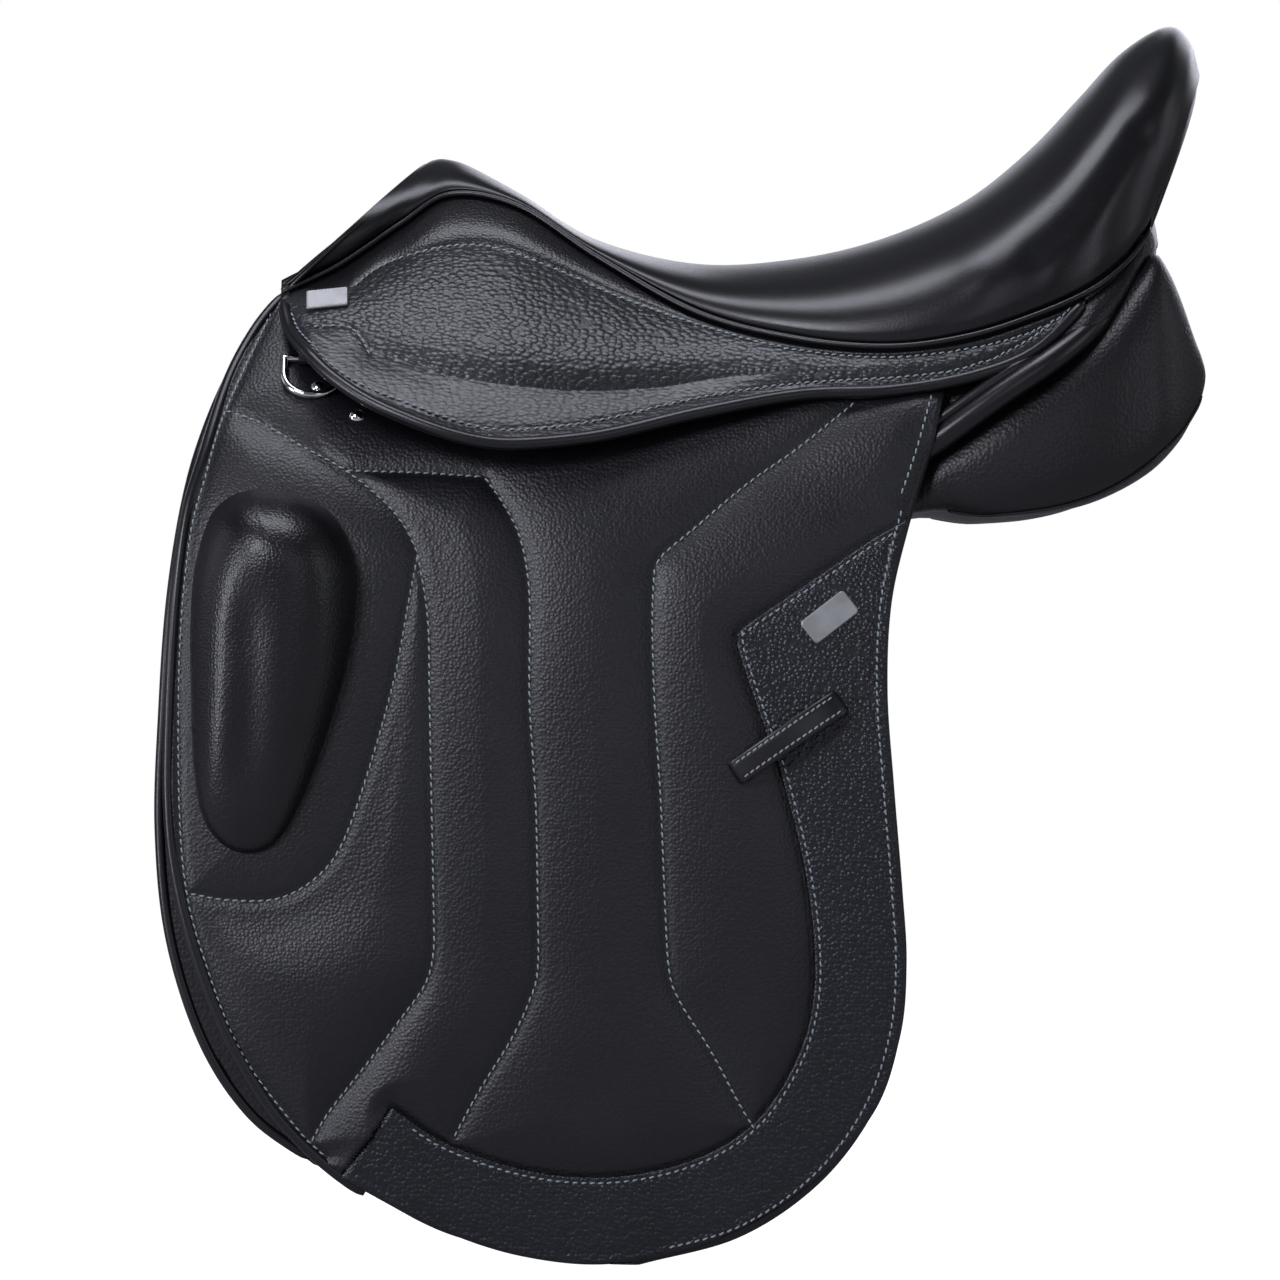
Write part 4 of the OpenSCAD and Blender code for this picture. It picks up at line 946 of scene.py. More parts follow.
FLAP_BEND_SPAN = tuple((0, FLAP_BEND_Y, FLAP_BEND_Z + half) for half in (FLAP_BEND_HALF, -FLAP_BEND_HALF))
SKIRT_BEND_SPAN = bend_span(*SKIRT_BEND, SKIRT_BEND_Y, SKIRT_BEND_HALF)


# Flap

def flap_edge(edge, share):
    """An outline of the flap in the side view, at shares of it from 0 to 1."""
    p = on(edge, share)
    return np.stack([p[..., 0], FLAP_BEND_Z - FLAP_DROP * p[..., 1]], -1)


def patch(top, bottom, front, rear, s, t):
    """Grid of points between four edges: s runs from front to rear, t from top to bottom."""
    s, t = s[None, :, None], t[:, None, None]
    corners = mix(mix(top[0], top[-1], s), mix(bottom[0], bottom[-1], s), t)
    return mix(top[None], bottom[None], t) + mix(front[:, None], rear[:, None], s) - corners


def flap_sheet(cols=220, head_rows=20, rows=260):
    """Grid of the flap in the side view, from its top edge down."""
    s, b = np.linspace(0, 1, cols), np.linspace(0, 1, rows)
    edge = flap_edge(FLAP_FRONT, b)
    rolled_to = ramp(b, EDGE_ROLL_END, EDGE_ROLL_END + EDGE_ROLL_FADE)
    front, rear = mix(inset(edge, LEATHER_IN), edge, rolled_to[:, None]), flap_edge(FLAP_REAR, b)
    lower = mix(front[:, None], rear[:, None], s[None, :, None])
    t = np.linspace(0, 1, head_rows)
    head_front = inset(on(HEAD_FRONT, t), LEATHER_IN)
    head_rear = mix(np.array(HEAD_TOP[-1], float), rear[0], t[:, None])
    head = patch(on(HEAD_TOP, s), lower[0], head_front[:-1], head_rear[:-1], s, t[:-1])
    return np.concatenate([head, lower])


seam_lines = [polyline(seam) for seam in FLAP_SEAMS]
block_base_line = polyline(BLOCK_BASE_SEAM)
block_bed = np.concatenate([polyline(BLOCK_TOP_SEAM), block_base_line, polyline(FRONT_SEAM[1:7])[::-1]])
grip_inner_line = polyline(GRIP_INNER, 120)
grip_outer_line = polyline(GRIP_OUTER, 120)
grip_outline = np.concatenate([grip_inner_line, grip_outer_line[::-1]])
rear_edge_line = flap_edge(FLAP_REAR, np.linspace(0, 1, 80))
front_edge_line = flap_edge(FLAP_FRONT, np.linspace(0, 1, 80))


def flap_out(x, z):
    """How far the flap's face stands out: padded between its seams, flat under the grip panel."""
    to_edge = nearest([rear_edge_line, front_edge_line], x, z)
    to_grip = distance_to(grip_inner_line, x, z)
    d = np.minimum(nearest(seam_lines, x, z), np.minimum(to_grip * GRIP_PULL, to_edge * EDGE_PULL))
    d = np.maximum(0, d - SEAM_BED)
    fuller = FULLER * ramp(x, *FULLER_X) * ramp(z, *FULLER_Z)
    sunk = BED_SINK * np.exp(-(distance_to(block_base_line, x, z) / BED_REACH) ** BED_POWER)
    sunk = np.where(inside(block_bed, x, z), 0, sunk)
    padding = (SEAM_STEP * (1 - np.exp(-d / SEAM_STEP_W))
               + (PADDING + fuller) * (1 - sunk) * (1 - np.exp(-(d / PADDING_REACH) ** PADDING_POWER)))
    padding = np.where(inside(grip_outline, x, z), UNDER_GRIP, padding)
    round_edge = EDGE_ROUND * np.clip(1 - to_edge / EDGE_ROUND_W, 0, 1) ** 2
    out = FLAP_LEATHER - SEAM_STEP + padding - round_edge
    return mix(out, np.minimum(out, FLAP_LEATHER), ramp(z - skirt_edge_z(x), *UNDER_SKIRT))


def make_flap():
    sheet = flap_sheet()
    x, z = sheet[..., 0], sheet[..., 1]
    pared = FLAP_SKIVE * swell(z - FLAP_BEND_Z + SKIVE_DROP, SKIVE_REACH)
    shape = shell(off_side(x, z, flap_out(x, z)), off_side(x, z, pared))
    pair("flap_leather", shape, FLAP_FINISH, "flap", ["flap_head", "flap"], FLAP_BEND_SPAN)


def stitch_on_side(rows, x, z, lift, pitch=STITCH_PITCH):
    """Adds a row of stitches that lies a distance outside the flap's inner face."""
    path = off_side(x, z, lift)
    return stitch_row(rows, path, off_side(x, z, lift + 1) - path, pitch)


def make_flap_stitches():
    """Stitches of the flap's seams, laid in their creases."""
    rows = Shape()
    edge_row = inset(rear_edge_line, -EDGE_ROW_IN)[EDGE_ROW_SPAN]
    for line in seam_lines + [edge_row, polyline(REAR_TOP_ROW)]:
        x, z = line.T
        on_grip = inside(grip_outline, x, z)
        lift = np.where(on_grip, GRIP_FACE + THREAD_ON_GRIP, flap_out(x, z) + THREAD_STAND)
        stitch_on_side(rows, x, z, lift)
    pair("flap_stitches", rows, THREAD, "flap", (), FLAP_BEND_SPAN)


def edge_roll(line, out):
    """Rolled edge along a line of the side view, a distance outside the flap's inner face."""
    x, z = evenly(inset(line, ROLL_IN), ROLL_STEP).T
    return tube(off_side(x, z, out), EDGE_ROLL_D / 2)


def make_flap_roll():
    share = np.linspace(0, 1, 80)
    line = np.concatenate([on(HEAD_FRONT, np.linspace(0, HEAD_ROLL_END, 14)),
                           flap_edge(FLAP_FRONT, share[share <= EDGE_ROLL_END])])
    roll = edge_roll(line, FLAP_LEATHER * FLAP_ROLL_LEVEL)
    pair("flap_rolled_edge", roll, ROLL_FINISH, "flap", ["flap_welt"], FLAP_BEND_SPAN)


def make_block(turns=160, steps=60):
    """Thigh block: a cushion with a round shoulder, a steep rear rim and two soft ridges down its front."""
    ring = on(BLOCK_OUTLINE + BLOCK_OUTLINE[:1], np.arange(turns) / turns)
    r = np.linspace(0, 1, steps + 1)[1:] ** BLOCK_SPACING
    crest = np.array(BLOCK_CREST, float)
    side = crest + (ring - crest)[None] * r[:, None, None]
    x, z = side[..., 0], side[..., 1]
    dome = np.clip(1 - r[:, None] ** BLOCK_SHOULDER, 0, 1) ** 0.5
    from_hollow = x - np.interp(z, *np.array(BLOCK_HOLLOW).T)
    hollow = swell(from_hollow, BLOCK_HOLLOW_W) * ramp(z, *BLOCK_HOLLOW_TOP) * ramp(z, *BLOCK_HOLLOW_FOOT)
    base = drape(x, z) + FLAP_LEATHER + BLOCK_FOOT
    y = base + (BLOCK_FACE - base - BLOCK_HOLLOW_DEPTH * hollow) * dome
    rings = np.stack([x, -y, z], -1)
    shape = loft(np.concatenate([rings, rings[-1:] + np.array([0, BLOCK_HEM, 0])]))
    pair("thigh_block_pad", shape, BLOCK_FINISH, "flap", ["thigh_block"])


def make_grip():
    """Grip panel: coarse leather laid on the flap's rear and lower edge."""
    b = np.linspace(0, 1, 300)
    a = np.concatenate([[0, 0.01], np.linspace(0.03, 0.97, 26), [0.985, 1]])
    side = mix(on(GRIP_OUTER, b)[:, None], on(GRIP_INNER, b)[:, None], a[None, :, None])
    x, z = side[..., 0], side[..., 1]
    to_inner, to_outer = distance_to(grip_inner_line, x, z), distance_to(grip_outer_line, x, z)
    groove = swell(to_inner - GRIP_ROW_IN, GRIP_GROOVE_W) + swell(to_outer - EDGE_ROW_IN, EDGE_GROOVE_W)
    round_edge = GRIP_EDGE_ROUND * np.clip(1 - np.minimum(to_inner, to_outer), 0, 1) ** 2
    outer = off_side(x, z, GRIP_FACE - round_edge - GRIP_GROOVE * groove)
    shape = shell(outer, off_side(x, z, GRIP_BACK))
    pair("grip_panel_leather", shape, GRIP_FINISH, "flap", ["grip_panel"])
    x, z = inset(grip_inner_line, GRIP_ROW_IN)[ROW_SPAN].T
    row = stitch_on_side(Shape(), x, z, GRIP_FACE - THREAD_SINK)
    pair("grip_stitches", row, THREAD, "flap")


def make_keeper():
    """Keeper: a short strap sewn down at both ends, with room under it."""
    (x0, z0), (x1, z1) = KEEPER_ENDS
    length = math.hypot(x1 - x0, z1 - z0)
    ux, uz = (x1 - x0) / length, (z1 - z0) / length
    a = np.linspace(0, 1, 60)
    b = np.linspace(-1, 1, 17)
    to_end = np.minimum(a, 1 - a) * length
    end_round = np.clip(1 - np.clip(1 - to_end / KEEPER_END_ROUND, 0, 1) ** 2, 0, 1) ** 0.5
    across = b[None, :] * (KEEPER_W / 2 * mix(KEEPER_END_W, 1, end_round))[:, None]
    x = x0 + ux * length * a[:, None] - uz * across
    z = z0 + uz * length * a[:, None] + ux * across
    gap = KEEPER_FOOT + KEEPER_ROOM * np.sqrt(np.sin(np.pi * a))[:, None] + 0 * across
    crease = KEEPER_CREASE * swell(np.abs(b) - KEEPER_ROW, KEEPER_ROW_W)
    crown = KEEPER_DEPTH - KEEPER_CROWN * np.abs(b) ** KEEPER_CROWN_POWER - crease
    shape = shell(off_side(x, z, gap + crown), off_side(x, z, gap))
    pair("keeper_strap", shape, STRAP_FINISH, "flap", ["keeper"])
    rows = Shape()
    for edge in (-KEEPER_ROW, KEEPER_ROW):
        k = int(round((edge + 1) / 2 * (len(b) - 1)))
        lift = gap[ROW_SPAN, k] + KEEPER_DEPTH - THREAD_SINK
        stitch_on_side(rows, x[ROW_SPAN, k], z[ROW_SPAN, k], lift, KEEPER_PITCH)
    pair("keeper_stitches", rows, THREAD, "flap")


# Skirt

fold_line = polyline(SKIRT_FOLD, 120)
upper_seam_line = polyline(SKIRT_UPPER_SEAM, 120)
skirt_seam_lines = [upper_seam_line, polyline(SKIRT_LOWER_SEAM, 120), polyline(SKIRT_FRONT_SEAM)]


def skirt_front_raise(x, b):
    """How far the skirt's lower edge is drawn up in front, where it shows the ring and the studs."""
    reach = ramp(x, *SKIRT_RAISE_REAR) * ramp(x, *SKIRT_RAISE_FRONT)
    return SKIRT_RAISE * ramp(b, SKIRT_RAISE_FROM, 1) * reach


def skirt_face(rows=110, cols=300):
    """Outer face of the skirt, the way out of it, and how far down it each point lies from 0 to 1."""
    aa, bb = np.meshgrid(np.linspace(SKIRT_FIRST_STATION, SKIRT_LAST_STATION, cols), np.linspace(0, 1, rows))
    face = skirt_point(aa, bb)
    x, z = face[..., 0], face[..., 2]
    near = nearest(skirt_seam_lines, x, z)
    padding = (SKIRT_STEP * (1 - np.exp(-near / SEAM_STEP_W))
               + SKIRT_PADDING * (1 - np.exp(-near / SKIRT_PADDING_REACH)))
    crease_z = np.interp(x, *fold_line.T)
    below = crease_z - z
    tail = ramp(x, *SKIRT_FOLD_TAIL)
    reach = ramp(x, *SKIRT_FOLD_HEAD) * tail
    band = np.maximum(SKIRT_BAND_LEAST, crease_z - skirt_edge_z(x))
    spread = np.clip(below / band, 0, 1) ** SKIRT_FLARE_POWER
    flare = SKIRT_FLARE * spread * tail * ramp(x, *SKIRT_FLARE_HEAD)
    fold = -(SKIRT_DIP * swell(below, SKIRT_DIP_W) + SKIRT_CREASE * swell(below, SKIRT_CREASE_W)) * reach
    seam_z = np.interp(x, *upper_seam_line.T)
    wide = np.maximum(face[:1, :, 2] - seam_z, SKIRT_TOP_LEAST)
    height = np.minimum(SKIRT_TOP_ROLL, SKIRT_TOP_SHARE * wide)
    roll = height * np.sin(np.pi * np.clip((z - seam_z) / wide, 0, 1)) * ramp(x, *SKIRT_TOP_HEAD)
    face[..., 1] -= padding - SKIRT_SUNK + flare + fold + roll
    face[..., 2] += skirt_front_raise(x, bb)
    return face, unit(np.cross(np.gradient(face, axis=0), np.gradient(face, axis=1))), bb


def skirt_zones(top):
    """Finish of each outer face of the skirt: 0 pebbled field, 1 upper band, 2 below the fold."""
    middle = (top[:-1, :-1] + top[1:, 1:]) / 2
    x, z = middle[..., 0], middle[..., 2]
    band = z > np.interp(x, *upper_seam_line.T)
    under_fold = (z < np.interp(x, *fold_line.T)) & (x < fold_line[-1, 0])
    return np.where(band, 1, np.where(under_fold, 2, 0)).ravel()


def make_skirt():
    face, out, bb = skirt_face()
    inward = np.array([0, 1.0, 0])
    back = face + inward * mix(SKIRT_DEPTH - SKIRT_STEP_IN, SKIRT_LOW_DEPTH, ease(bb))[..., None]
    rolled = SKIRT_EDGE_ROUND * np.clip(1 - (1 - bb) / SKIRT_EDGE_SHARE, 0, 1) ** 2
    top = face + inward * rolled[..., None]
    front = ramp(face[0, :, 0], *SKIRT_TUCK_FRONT)
    tuck = np.stack([0 * front, mix(*SKIRT_TUCK_IN, front), mix(*SKIRT_TUCK_UP, front)], -1)
    tuck = np.linspace(1, SKIRT_TUCK_LAST, SKIRT_TUCK_ROWS)[:, None, None] * tuck[None]
    top, back = (np.concatenate([side[:1] + tuck, side]) for side in (top, back))
    skirts = pair("skirt_leather", shell(top, back), SKIRT_FINISH, "skirt",
                  ["skirt_top", "skirt"], SKIRT_BEND_SPAN)
    zones = skirt_zones(top)
    for piece in skirts:
        piece.data.materials.append(BLOCK_FINISH)
        piece.data.materials.append(SKIRT_BAND_FINISH)
        index = np.ones(len(piece.data.polygons), int)
        index[:len(zones)] = zones
        piece.data.polygons.foreach_set("material_index", index)
    round_end = face[::-1, -1][SKIRT_ROLL_END]
    edge = np.concatenate([face[-1, SKIRT_ROLL_FROM:], round_end]) + np.array(SKIRT_ROLL_SHIFT)
    line = evenly(edge, ROLL_STEP)
    points, away = face.reshape(-1, 3), out.reshape(-1, 3)
    make_skirt_plate(points, away)
    pair("skirt_rolled_edge", tube(line, SKIRT_ROLL_D / 2), ROLL_FINISH, "skirt", ["skirt_welt"],
         SKIRT_BEND_SPAN)
    make_skirt_stitches(points, away)


def make_skirt_plate(points, away):
    """Blank plate on the skirt's upper band, laid on the highest points under it."""
    side_view = points[:, [0, 2]]
    i = int(np.argmin(((side_view - np.array(SKIRT_PLATE)) ** 2).sum(1)))
    under = points[(np.abs(side_view - side_view[i]) < np.array(SKIRT_PLATE_BED)).all(1)] - points[i]
    up = unit(away[i] - np.array([0, SKIRT_PLATE_LEAN, 0]))
    centre = points[i] + up * ((under @ up).max() - SKIRT_PLATE_SINK)
    lay_plate("skirt_blank_plate", rounded_plate(*SKIRT_PLATE_SIZE), centre, up, SKIRT_PLATE_TURN, ROOT)


def make_skirt_stitches(points, away):
    side_view = points[:, [0, 2]]
    rows = Shape()
    for seam, share in zip(skirt_seam_lines, (0, 1, 0)):
        laid = evenly(seam, 2.0)
        laid[:, 1] += SKIRT_ROW_RAISE * skirt_front_raise(laid[:, 0], share)
        found = [int(np.argmin(((side_view - p) ** 2).sum(1))) for p in laid]
        path = points[found]
        path[:, 0], path[:, 2] = laid.T
        stitch_row(rows, path + away[found] * SKIRT_THREAD_STAND, away[found])
    pair("skirt_stitches", rows, THREAD, "skirt", (), SKIRT_BEND_SPAN)


# Seat

def make_seat(cols=240, rows=181, step=0.02):
    """Seat cover: smooth leather strained over foam, drawn in at the seam."""
    aa, bb = np.meshgrid(np.linspace(SEAT_FIRST, SEAT_LAST, cols), np.linspace(-1, 1, rows))
    face = seat_point(aa, bb)
    du = seat_point(aa + step, bb) - seat_point(aa - step, bb)
    dv = seat_point(aa, np.clip(bb + step, -1, 1)) - seat_point(aa, np.clip(bb - step, -1, 1))
    out = unit(np.cross(du, dv))
    x, z = face[..., 0], face[..., 2]
    lift = -SEAT_TUCK * np.clip((np.abs(bb) - SEAT_TUCK_FROM) / (1 - SEAT_TUCK_FROM), 0, 1) ** 2
    for line, height, width in SEAT_FOLDS:
        lift += height * swell(distance_to(polyline(line), x, z), width)
    outer = face + out * lift[..., None]
    inner = face - out * SEAT_LEATHER
    inner[..., 0] = np.maximum(inner[..., 0], face[:, :1, 0])
    turn = np.linspace(0, np.pi / 2, 7)[1:, None]
    along = unit(du[:, -1:])
    curl = outer[:, -1:] + CANTLE_CURL * (np.sin(turn) * along - (1 - np.cos(turn)) * out[:, -1:])
    outer = np.concatenate([outer, curl], 1)
    inner = np.concatenate([inner, np.repeat(inner[:, -1:], len(turn), 1)], 1)
    seat = dress(shell(outer, inner).piece("seat_leather_cover"), SEAT_LEATHER_FINISH, ROOT,
                 ["seat_cover", "seat_foam"])


def make_seat_welt():
    p = at(SEAT_EDGE, np.linspace(SEAT_FIRST, SEAT_LAST - SEAT_WELT_SHORT, 200))
    line = np.stack([p[:, 0], -p[:, 1] - SEAT_WELT_OUT, p[:, 2] - SEAT_WELT_D / 2 + SEAT_WELT_UP], -1)
    line = evenly(line, 2.5)
    welt = tube(line, SEAT_WELT_D / 2, around=10)
    off = tube(line * np.array([1, -1, 1]), SEAT_WELT_D / 2, around=10)
    welt.add(np.concatenate(off.points), off.faces)
    dress(welt.piece("seat_seam_welt"), ROLL_FINISH, ROOT, ["seat_welt"])


def make_pommel_facing():
    """Leather that closes the front of the pommel."""
    b = np.linspace(-1, 1, 81)
    t = np.linspace(0, 1, 20)
    rim = seat_point(np.full_like(b, SEAT_FIRST), b)
    fall = 1 - POMMEL_CORNER_LOSS * b[:, None] ** 4
    low = rim * np.array([1, POMMEL_NARROW, 1]) + np.array(POMMEL_FALL) * fall
    front = mix(rim[None], low[None], t[:, None, None])
    bulge = np.sin(np.pi * t)[:, None] ** POMMEL_BULGE_DOWN * (1 - np.abs(b) ** POMMEL_BULGE_ACROSS)
    front[..., 0] -= POMMEL_BULGE * bulge
    front[..., 2] -= POMMEL_UNDER
    back = front + np.array([FACING_LEATHER, 0, 0])
    piece = shell(front, back).piece("pommel_leather")
    dress(piece, SEAT_LEATHER_FINISH, ROOT, ["pommel_facing"])


def make_cantle_facing():
    """Leather that closes the back of the cantle."""
    b = np.linspace(-CANTLE_ACROSS, CANTLE_ACROSS, 81)
    t = np.linspace(0, 1, 24)
    rim = seat_point(np.full_like(b, SEAT_LAST), b)
    back = on(CANTLE_BACK, t)
    foot = CANTLE_BACK[-1][1]
    tall = (rim[:, 2] - foot) / (SEAT_RIDGE[-1][1] - foot)
    x = rim[None, :, 0] + (back[:, None, 0] - SEAT_RIDGE[-1][0]) * tall[None]
    z = foot + (back[:, None, 1] - foot) * tall[None] - CANTLE_SIDE_DROP * (np.abs(b[None]) ** 3) * t[:, None]
    rear = np.stack([x, np.broadcast_to(rim[:, 1], x.shape), z], -1)
    shape = shell(rear, rear - np.array([FACING_LEATHER, 0, 0]))
    dress(shape.piece("cantle_leather"), SEAT_LEATHER_FINISH, ROOT, ["cantle_facing"])


def roll_at(t):
    """Centre of the rear roll and the level way out of it; it draws in under the cantle."""
    p = at(ROLL_LINE, t)
    along = at(ROLL_LINE, np.minimum(t + ROLL_NEAR, ROLL_REAR)) - at(ROLL_LINE, t - ROLL_NEAR)
    away = unit(np.stack([along[:, 1], -along[:, 0], 0 * t], -1))
    return p - away * ROLL_DRAW_IN * ramp(t, *ROLL_DRAW_SPAN)[:, None], away


def make_roll():
    """Padded roll round the back, with a thinner roll above it on each side."""
    half, _ = roll_at(np.linspace(0, ROLL_REAR, 200))
    path = evenly(np.concatenate([half, half[:-1][::-1] * np.array([1, -1, 1])]), ROLL_STEP)
    shape = tube(path, ROLL_D / 2, side=(0, 0, 1), around=18)
    roll = dress(shape.piece("rear_roll_padding"), ROLL_FINISH, ROOT, ["rear_roll"])
    places, apart, inward = np.array(UPPER_ROLL).T
    t = np.linspace(places[0], places[-1], 80)
    p, _ = roll_at(t)
    apart, inward = np.interp(t, places, apart), np.interp(t, places, inward)
    way_x, way_z = UPPER_ROLL_WAY
    upper = evenly(p + np.stack([way_x * apart, inward, way_z * apart], -1), ROLL_STEP)
    pair("upper_roll", tube(upper, UPPER_ROLL_R, side=(0, 0, 1)), ROLL_FINISH)


# Panels and sweat flaps

def panel_corner(x, p):
    """Half breadth and height of a corner of the panel's section."""
    if p[0] > 0:
        return p
    q = off_side(x, p[1], PANEL_FACE - PANEL_FACE_IN)
    return (-q[1], q[2])


def panel_rings(count=90, around=64):
    corners = [[panel_corner(s[0], s[k]) for s in PANEL_STATIONS] for k in range(1, 5)]
    share = np.sin(np.linspace(0, 1, count) * np.pi / 2) ** PANEL_SPACING
    x = on([(s[0],) for s in PANEL_STATIONS], share)[:, 0]
    c = [on(line, share) for line in corners]
    turn = np.linspace(0, 2 * np.pi, around, endpoint=False)
    round_turn = np.stack([np.cos(turn), np.sin(turn)], -1)
    q = (np.sign(round_turn) * np.abs(round_turn) ** PANEL_SQUARE + 1) / 2
    low = mix(c[0][:, None, :], c[1][:, None, :], q[None, :, :1])
    high = mix(c[3][:, None, :], c[2][:, None, :], q[None, :, :1])
    p = mix(low, high, q[None, :, 1:])
    rings = np.stack([np.broadcast_to(x[:, None], p.shape[:2]), -p[..., 0], p[..., 1]], -1)
    z = rings[..., 2]
    low, high = z.min(1, keepdims=True), z.max(1, keepdims=True)
    under, over = table_value(PANEL_UNDER, x)[:, None], table_value(PANEL_TOP, x)[:, None]
    rear = mix(under, over, (z - low) / (high - low))
    rings[..., 2] = mix(z, rear, ramp(x, PANEL_END, PANEL_END + PANEL_END_FADE)[:, None])
    to_end = ((x - PANEL_ROUND) / (x[-1] - PANEL_ROUND)).clip(0, 1)
    narrow = np.sqrt(np.clip(1 - PANEL_END_NARROW * to_end ** 2, 0, 1))[:, None]
    rings[..., 1] = mix(rings[..., 1].mean(1, keepdims=True), rings[..., 1], narrow)
    return rings


def make_panels():
    rings = panel_rings()
    pair("panel_padding", loft(rings), PANEL_FINISH, None, ["panel"])
    k = int(round(rings.shape[1] * (1 - PANEL_SEAM_TURN / 360)))
    line = evenly(rings[PANEL_WELT_RINGS, k] + np.array(PANEL_WELT_SHIFT), ROLL_STEP)
    pair("panel_seam_welt", tube(line, PANEL_WELT_R, around=8), ROLL_FINISH)


def make_gusset():
    """Leather between the seat's edge and the roll: behind the roll at the flap, over it under the cantle."""
    a = np.linspace(GUSSET_ROUTE[0][0], GUSSET_ROUTE[-1][0], 110)
    edge = at(SEAT_EDGE, a)
    over = ramp(a, *GUSSET_OVER)
    centre, away = roll_at(np.interp(a, *np.array(GUSSET_ROUTE).T))
    low = centre + away * mix(*GUSSET_LOW_OUT, over)[:, None]
    low[:, 2] += mix(*GUSSET_LOW_UP, over)
    top = np.stack([edge[:, 0] - GUSSET_TOP_FORE * (1 - over), -edge[:, 1] + mix(*GUSSET_TOP_IN, over),
                    edge[:, 2] - GUSSET_TOP_DROP], -1)
    t = np.linspace(0, 1, 20)
    outer = mix(top[None], low[None], t[:, None, None])
    outer = outer + away[None] * (mix(*GUSSET_SWELL, over)[None] * np.sin(np.pi * t)[:, None])[..., None]
    shape = shell(outer, outer - GUSSET_LEATHER * away[None])
    pair("gusset_leather", shape, PANEL_FINISH, None, ["panel_facing"])


def make_sweat_flap():
    s, t = np.linspace(0, 1, 70), np.linspace(0, 1, 90)
    front = inset(on(SWEAT_FRONT, t), LEATHER_IN)
    top, bottom = on(SWEAT_TOP, s), on(SWEAT_BOTTOM, s)
    top[0], bottom[0] = front[0], front[-1]
    sheet = patch(top, bottom, front, on(SWEAT_REAR, t), s, t)
    x, z = sheet[..., 0], sheet[..., 1]
    shape = shell(off_side(x, z, SWEAT_OUTER), off_side(x, z, SWEAT_INNER))
    pair("sweat_flap_leather", shape, PANEL_FINISH, None, ["sweat_flap"])
    roll = edge_roll(on(SWEAT_FRONT, np.linspace(SWEAT_ROLL_FROM, 1, 120)), (SWEAT_OUTER + SWEAT_INNER) / 2)
    pair("sweat_rolled_edge", roll, ROLL_FINISH, None, ["sweat_welt"])


# Metal

def rounded_plate(length, height, corner, depth):
    """Plate with round corners and a bevelled face, in its own plane."""
    turn = np.linspace(0, 2 * np.pi, 48, endpoint=False) + np.pi / 48
    cx = np.sign(np.cos(turn)) * (length / 2 - corner) + corner * np.cos(turn)
    cy = np.sign(np.sin(turn)) * (height / 2 - corner) + corner * np.sin(turn)
    return np.stack([np.stack([cx - np.sign(cx) * d, cy - np.sign(cy) * d, np.full_like(cx, depth * h)], -1)
                     for d, h in PLATE_BEVEL])


def lay_plate(name, rings, centre, away, turn_deg, body):
    """Lays a plate on a face, turned in the side view."""
    along = unit(np.array([1.0, 0, 0]) - away * away[0])
    up = np.cross(along, -away)
    up *= np.sign(up[2])
    c, s = math.cos(math.radians(turn_deg)), math.sin(math.radians(turn_deg))
    u, v = c * along + s * up, c * up - s * along
    placed = centre + rings[..., :1] * u + rings[..., 1:2] * v + rings[..., 2:] * away
    dress(loft(placed).piece(name), PLATE_STEEL, body)


def make_flap_plate():
    x, z = (np.array([v], float) for v in FLAP_PLATE)
    centre, above = (off_side(x, z, GRIP_FACE - FLAP_PLATE_SINK + d)[0] for d in (0, 1))
    plate = rounded_plate(*FLAP_PLATE_SIZE)
    lay_plate("flap_blank_plate", plate, centre, above - centre, FLAP_PLATE_TURN, "flap_left")


def finish_frame_nodes():
    """Finishes of the CAD pieces that show as they are."""
    finishes = {
        "tree": WOOD, "gullet_plate": BAR_STEEL, "seat_webbing": WEBBING, "girth_webs": WEBBING,
        "bar_rivets": BAR_STEEL, "point_studs": CHROME, "ring_loops": STRAP_FINISH,
    }
    for side, _ in SIDES:
        finishes[f"stirrup_bar_{side}"] = BAR_STEEL
        finishes[f"bar_catch_{side}"] = BAR_STEEL
        finishes[f"d_ring_{side}"] = CHROME
        finishes[f"girth_strap_front_{side}"] = STRAP_FINISH
        finishes[f"girth_strap_rear_{side}"] = STRAP_FINISH
    for name, finish in finishes.items():
        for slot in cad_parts[name].material_slots:
            slot.material = finish


make_flap()
make_flap_stitches()
make_flap_roll()
make_block()
make_grip()
make_keeper()
make_skirt()
make_seat()
make_seat_welt()
make_pommel_facing()
make_cantle_facing()
make_roll()
make_panels()
make_gusset()
make_sweat_flap()
make_flap_plate()
finish_frame_nodes()


# Stage, light and camera, in metres

FLOOR_HALF, FLOOR_GAP = 6.0, 0.004
AIM = np.array([0.0, -0.1, 0.0])
COOL = (0.88, 0.89, 1.0)
# Name, place, breadth and height, watts
LIGHTS = [
    ("key_front_left", (-1.5, -2.4, 1.25), (0.9, 0.9), 38),
    ("top_soft", (-0.2, -0.38, 2.1), (1.4, 0.8), 23),
    ("strip_left", (-2.7, -1.5, -0.05), (0.45, 1.4), 34),
    ("fill_front", (1.0, -3.2, 0.6), (1.4, 1.4), 6),
    ("strip_rear", (2.2, -1.2, 0.5), (0.5, 1.4), 4),
    ("rim_behind", (0.0, 2.6, 0.55), (3.0, 0.7), 9),
    ("off_side", (0.9, 2.6, 1.1), (1.6, 1.2), 11),
    ("back", (2.6, 0.5, 0.7), (1.2, 1.2), 3),
    ("front", (-2.6, 0.5, 0.7), (1.2, 1.2), 3),
]
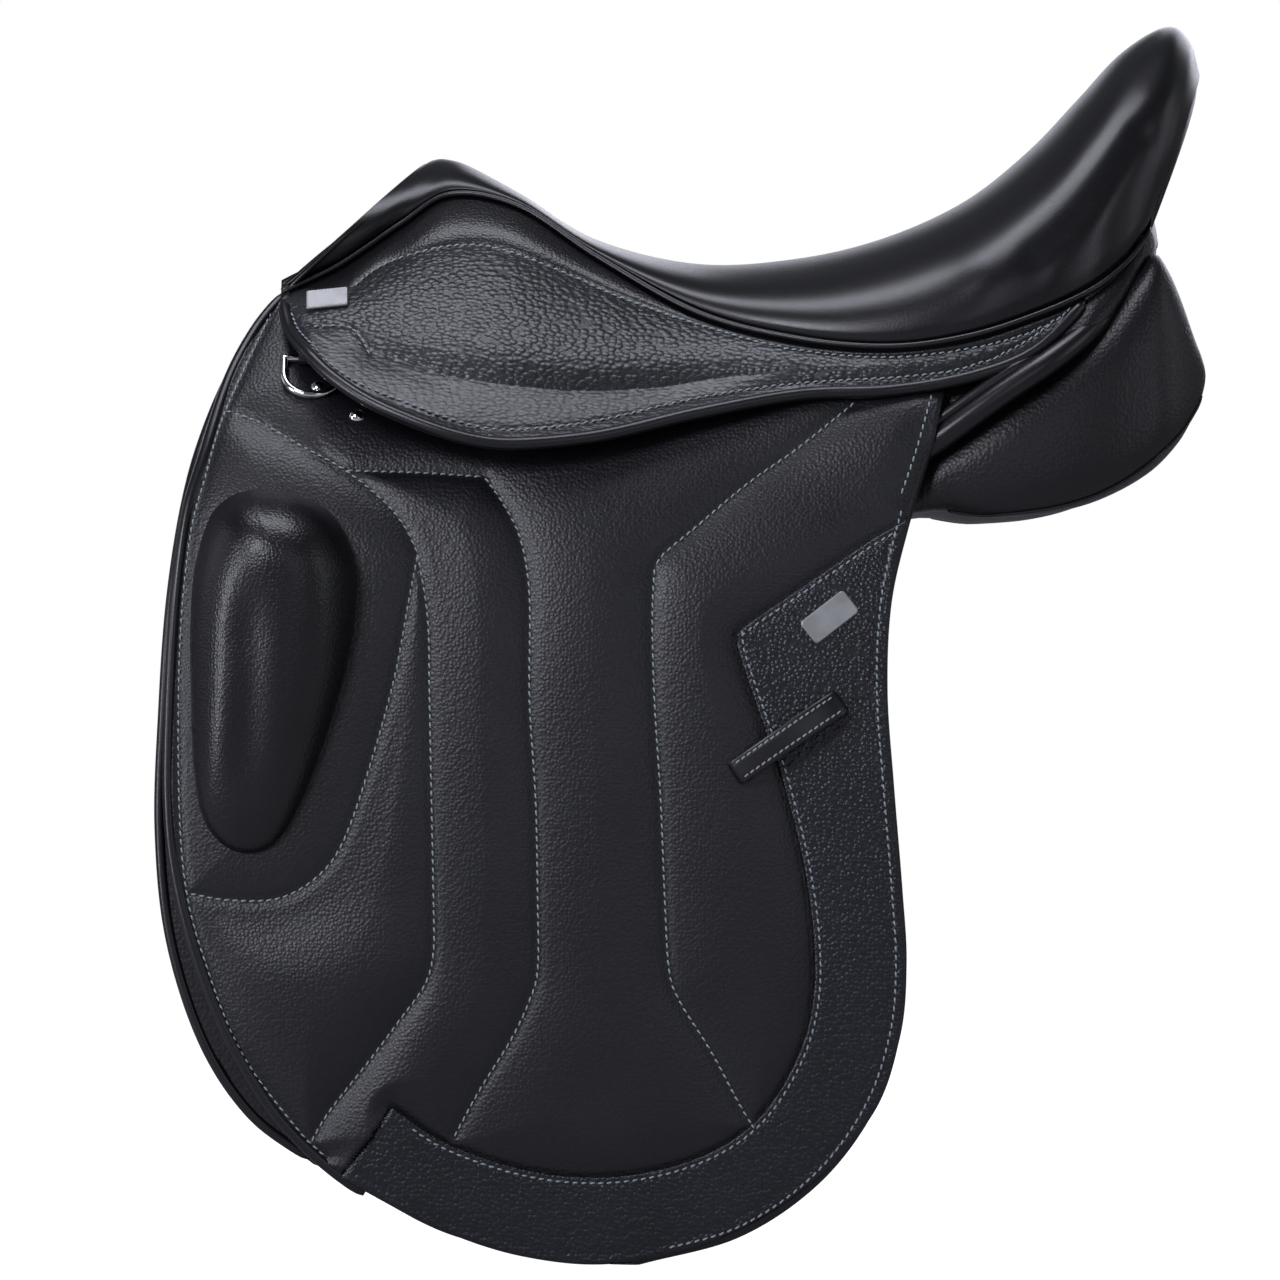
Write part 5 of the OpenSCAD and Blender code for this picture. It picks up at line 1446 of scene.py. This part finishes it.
# Breadth that the photograph shows at the near flap, the middle of it, and the camera's distance from there
VIEW_WIDTH, VIEW_MIDDLE, VIEW_DISTANCE = 0.6144, (-0.020, -0.18, -0.060), 5.0
SENSOR_MM = 36.0


def make_floor():
    """Pale floor that shows white to the camera and throws little light back."""
    z = cad_box[0][2] - FLOOR_GAP
    mesh = bpy.data.meshes.new("studio_floor")
    corners = [(x * FLOOR_HALF, y * FLOOR_HALF, z) for x, y in ((-1, -1), (1, -1), (1, 1), (-1, 1))]
    mesh.from_pydata(corners, [], [(0, 1, 2, 3)])
    pale, tree, surface = new_finish("pale_floor")
    surface["Base Color"].default_value = (0.42, 0.42, 0.43, 1)
    surface["Roughness"].default_value = 0.9
    surface["Emission Color"].default_value = (1, 1, 1, 1)
    feed(tree, surface["Emission Strength"], node(tree, "ShaderNodeLightPath").outputs["Is Camera Ray"])
    mesh.materials.append(pale)
    place_object("studio_floor", mesh)


def make_surround():
    """White surround in the picture, faint cool light from all round."""
    world = bpy.data.worlds.new("studio")
    world.use_nodes = True
    tree = world.node_tree
    tree.nodes.clear()
    seen = node(tree, "ShaderNodeBackground", {"Color": (1, 1, 1, 1), "Strength": 1.0}).outputs[0]
    lit = node(tree, "ShaderNodeBackground", {"Color": (0.9, 0.93, 1.0, 1), "Strength": 0.10}).outputs[0]
    to_camera = node(tree, "ShaderNodeLightPath").outputs["Is Camera Ray"]
    chosen = node(tree, "ShaderNodeMixShader", {0: to_camera, 1: lit, 2: seen}).outputs[0]
    node(tree, "ShaderNodeOutputWorld", {"Surface": chosen})
    bpy.context.scene.world = world


def make_lights():
    for name, place, size, power in LIGHTS:
        data = bpy.data.lights.new(name, "AREA")
        data.shape = "RECTANGLE"
        data.size, data.size_y = size
        data.energy = power
        data.color = COOL
        light = place_object(name, data)
        light.location = place
        light.visible_camera = False
        light.rotation_euler = Vector(AIM - np.array(place)).to_track_quat("-Z", "Y").to_euler()


def make_camera():
    """Camera square to the near side."""
    data = bpy.data.cameras.new("photo_camera")
    data.sensor_width = SENSOR_MM
    data.lens = SENSOR_MM * VIEW_DISTANCE / VIEW_WIDTH
    camera = place_object("photo_camera", data)
    x, y, z = VIEW_MIDDLE
    camera.location = (x, y - VIEW_DISTANCE, z)
    camera.rotation_euler = (math.pi / 2, 0, 0)
    bpy.context.scene.camera = camera


make_floor()
make_surround()
make_lights()
make_camera()
bpy.context.scene.view_settings.view_transform = "Standard"
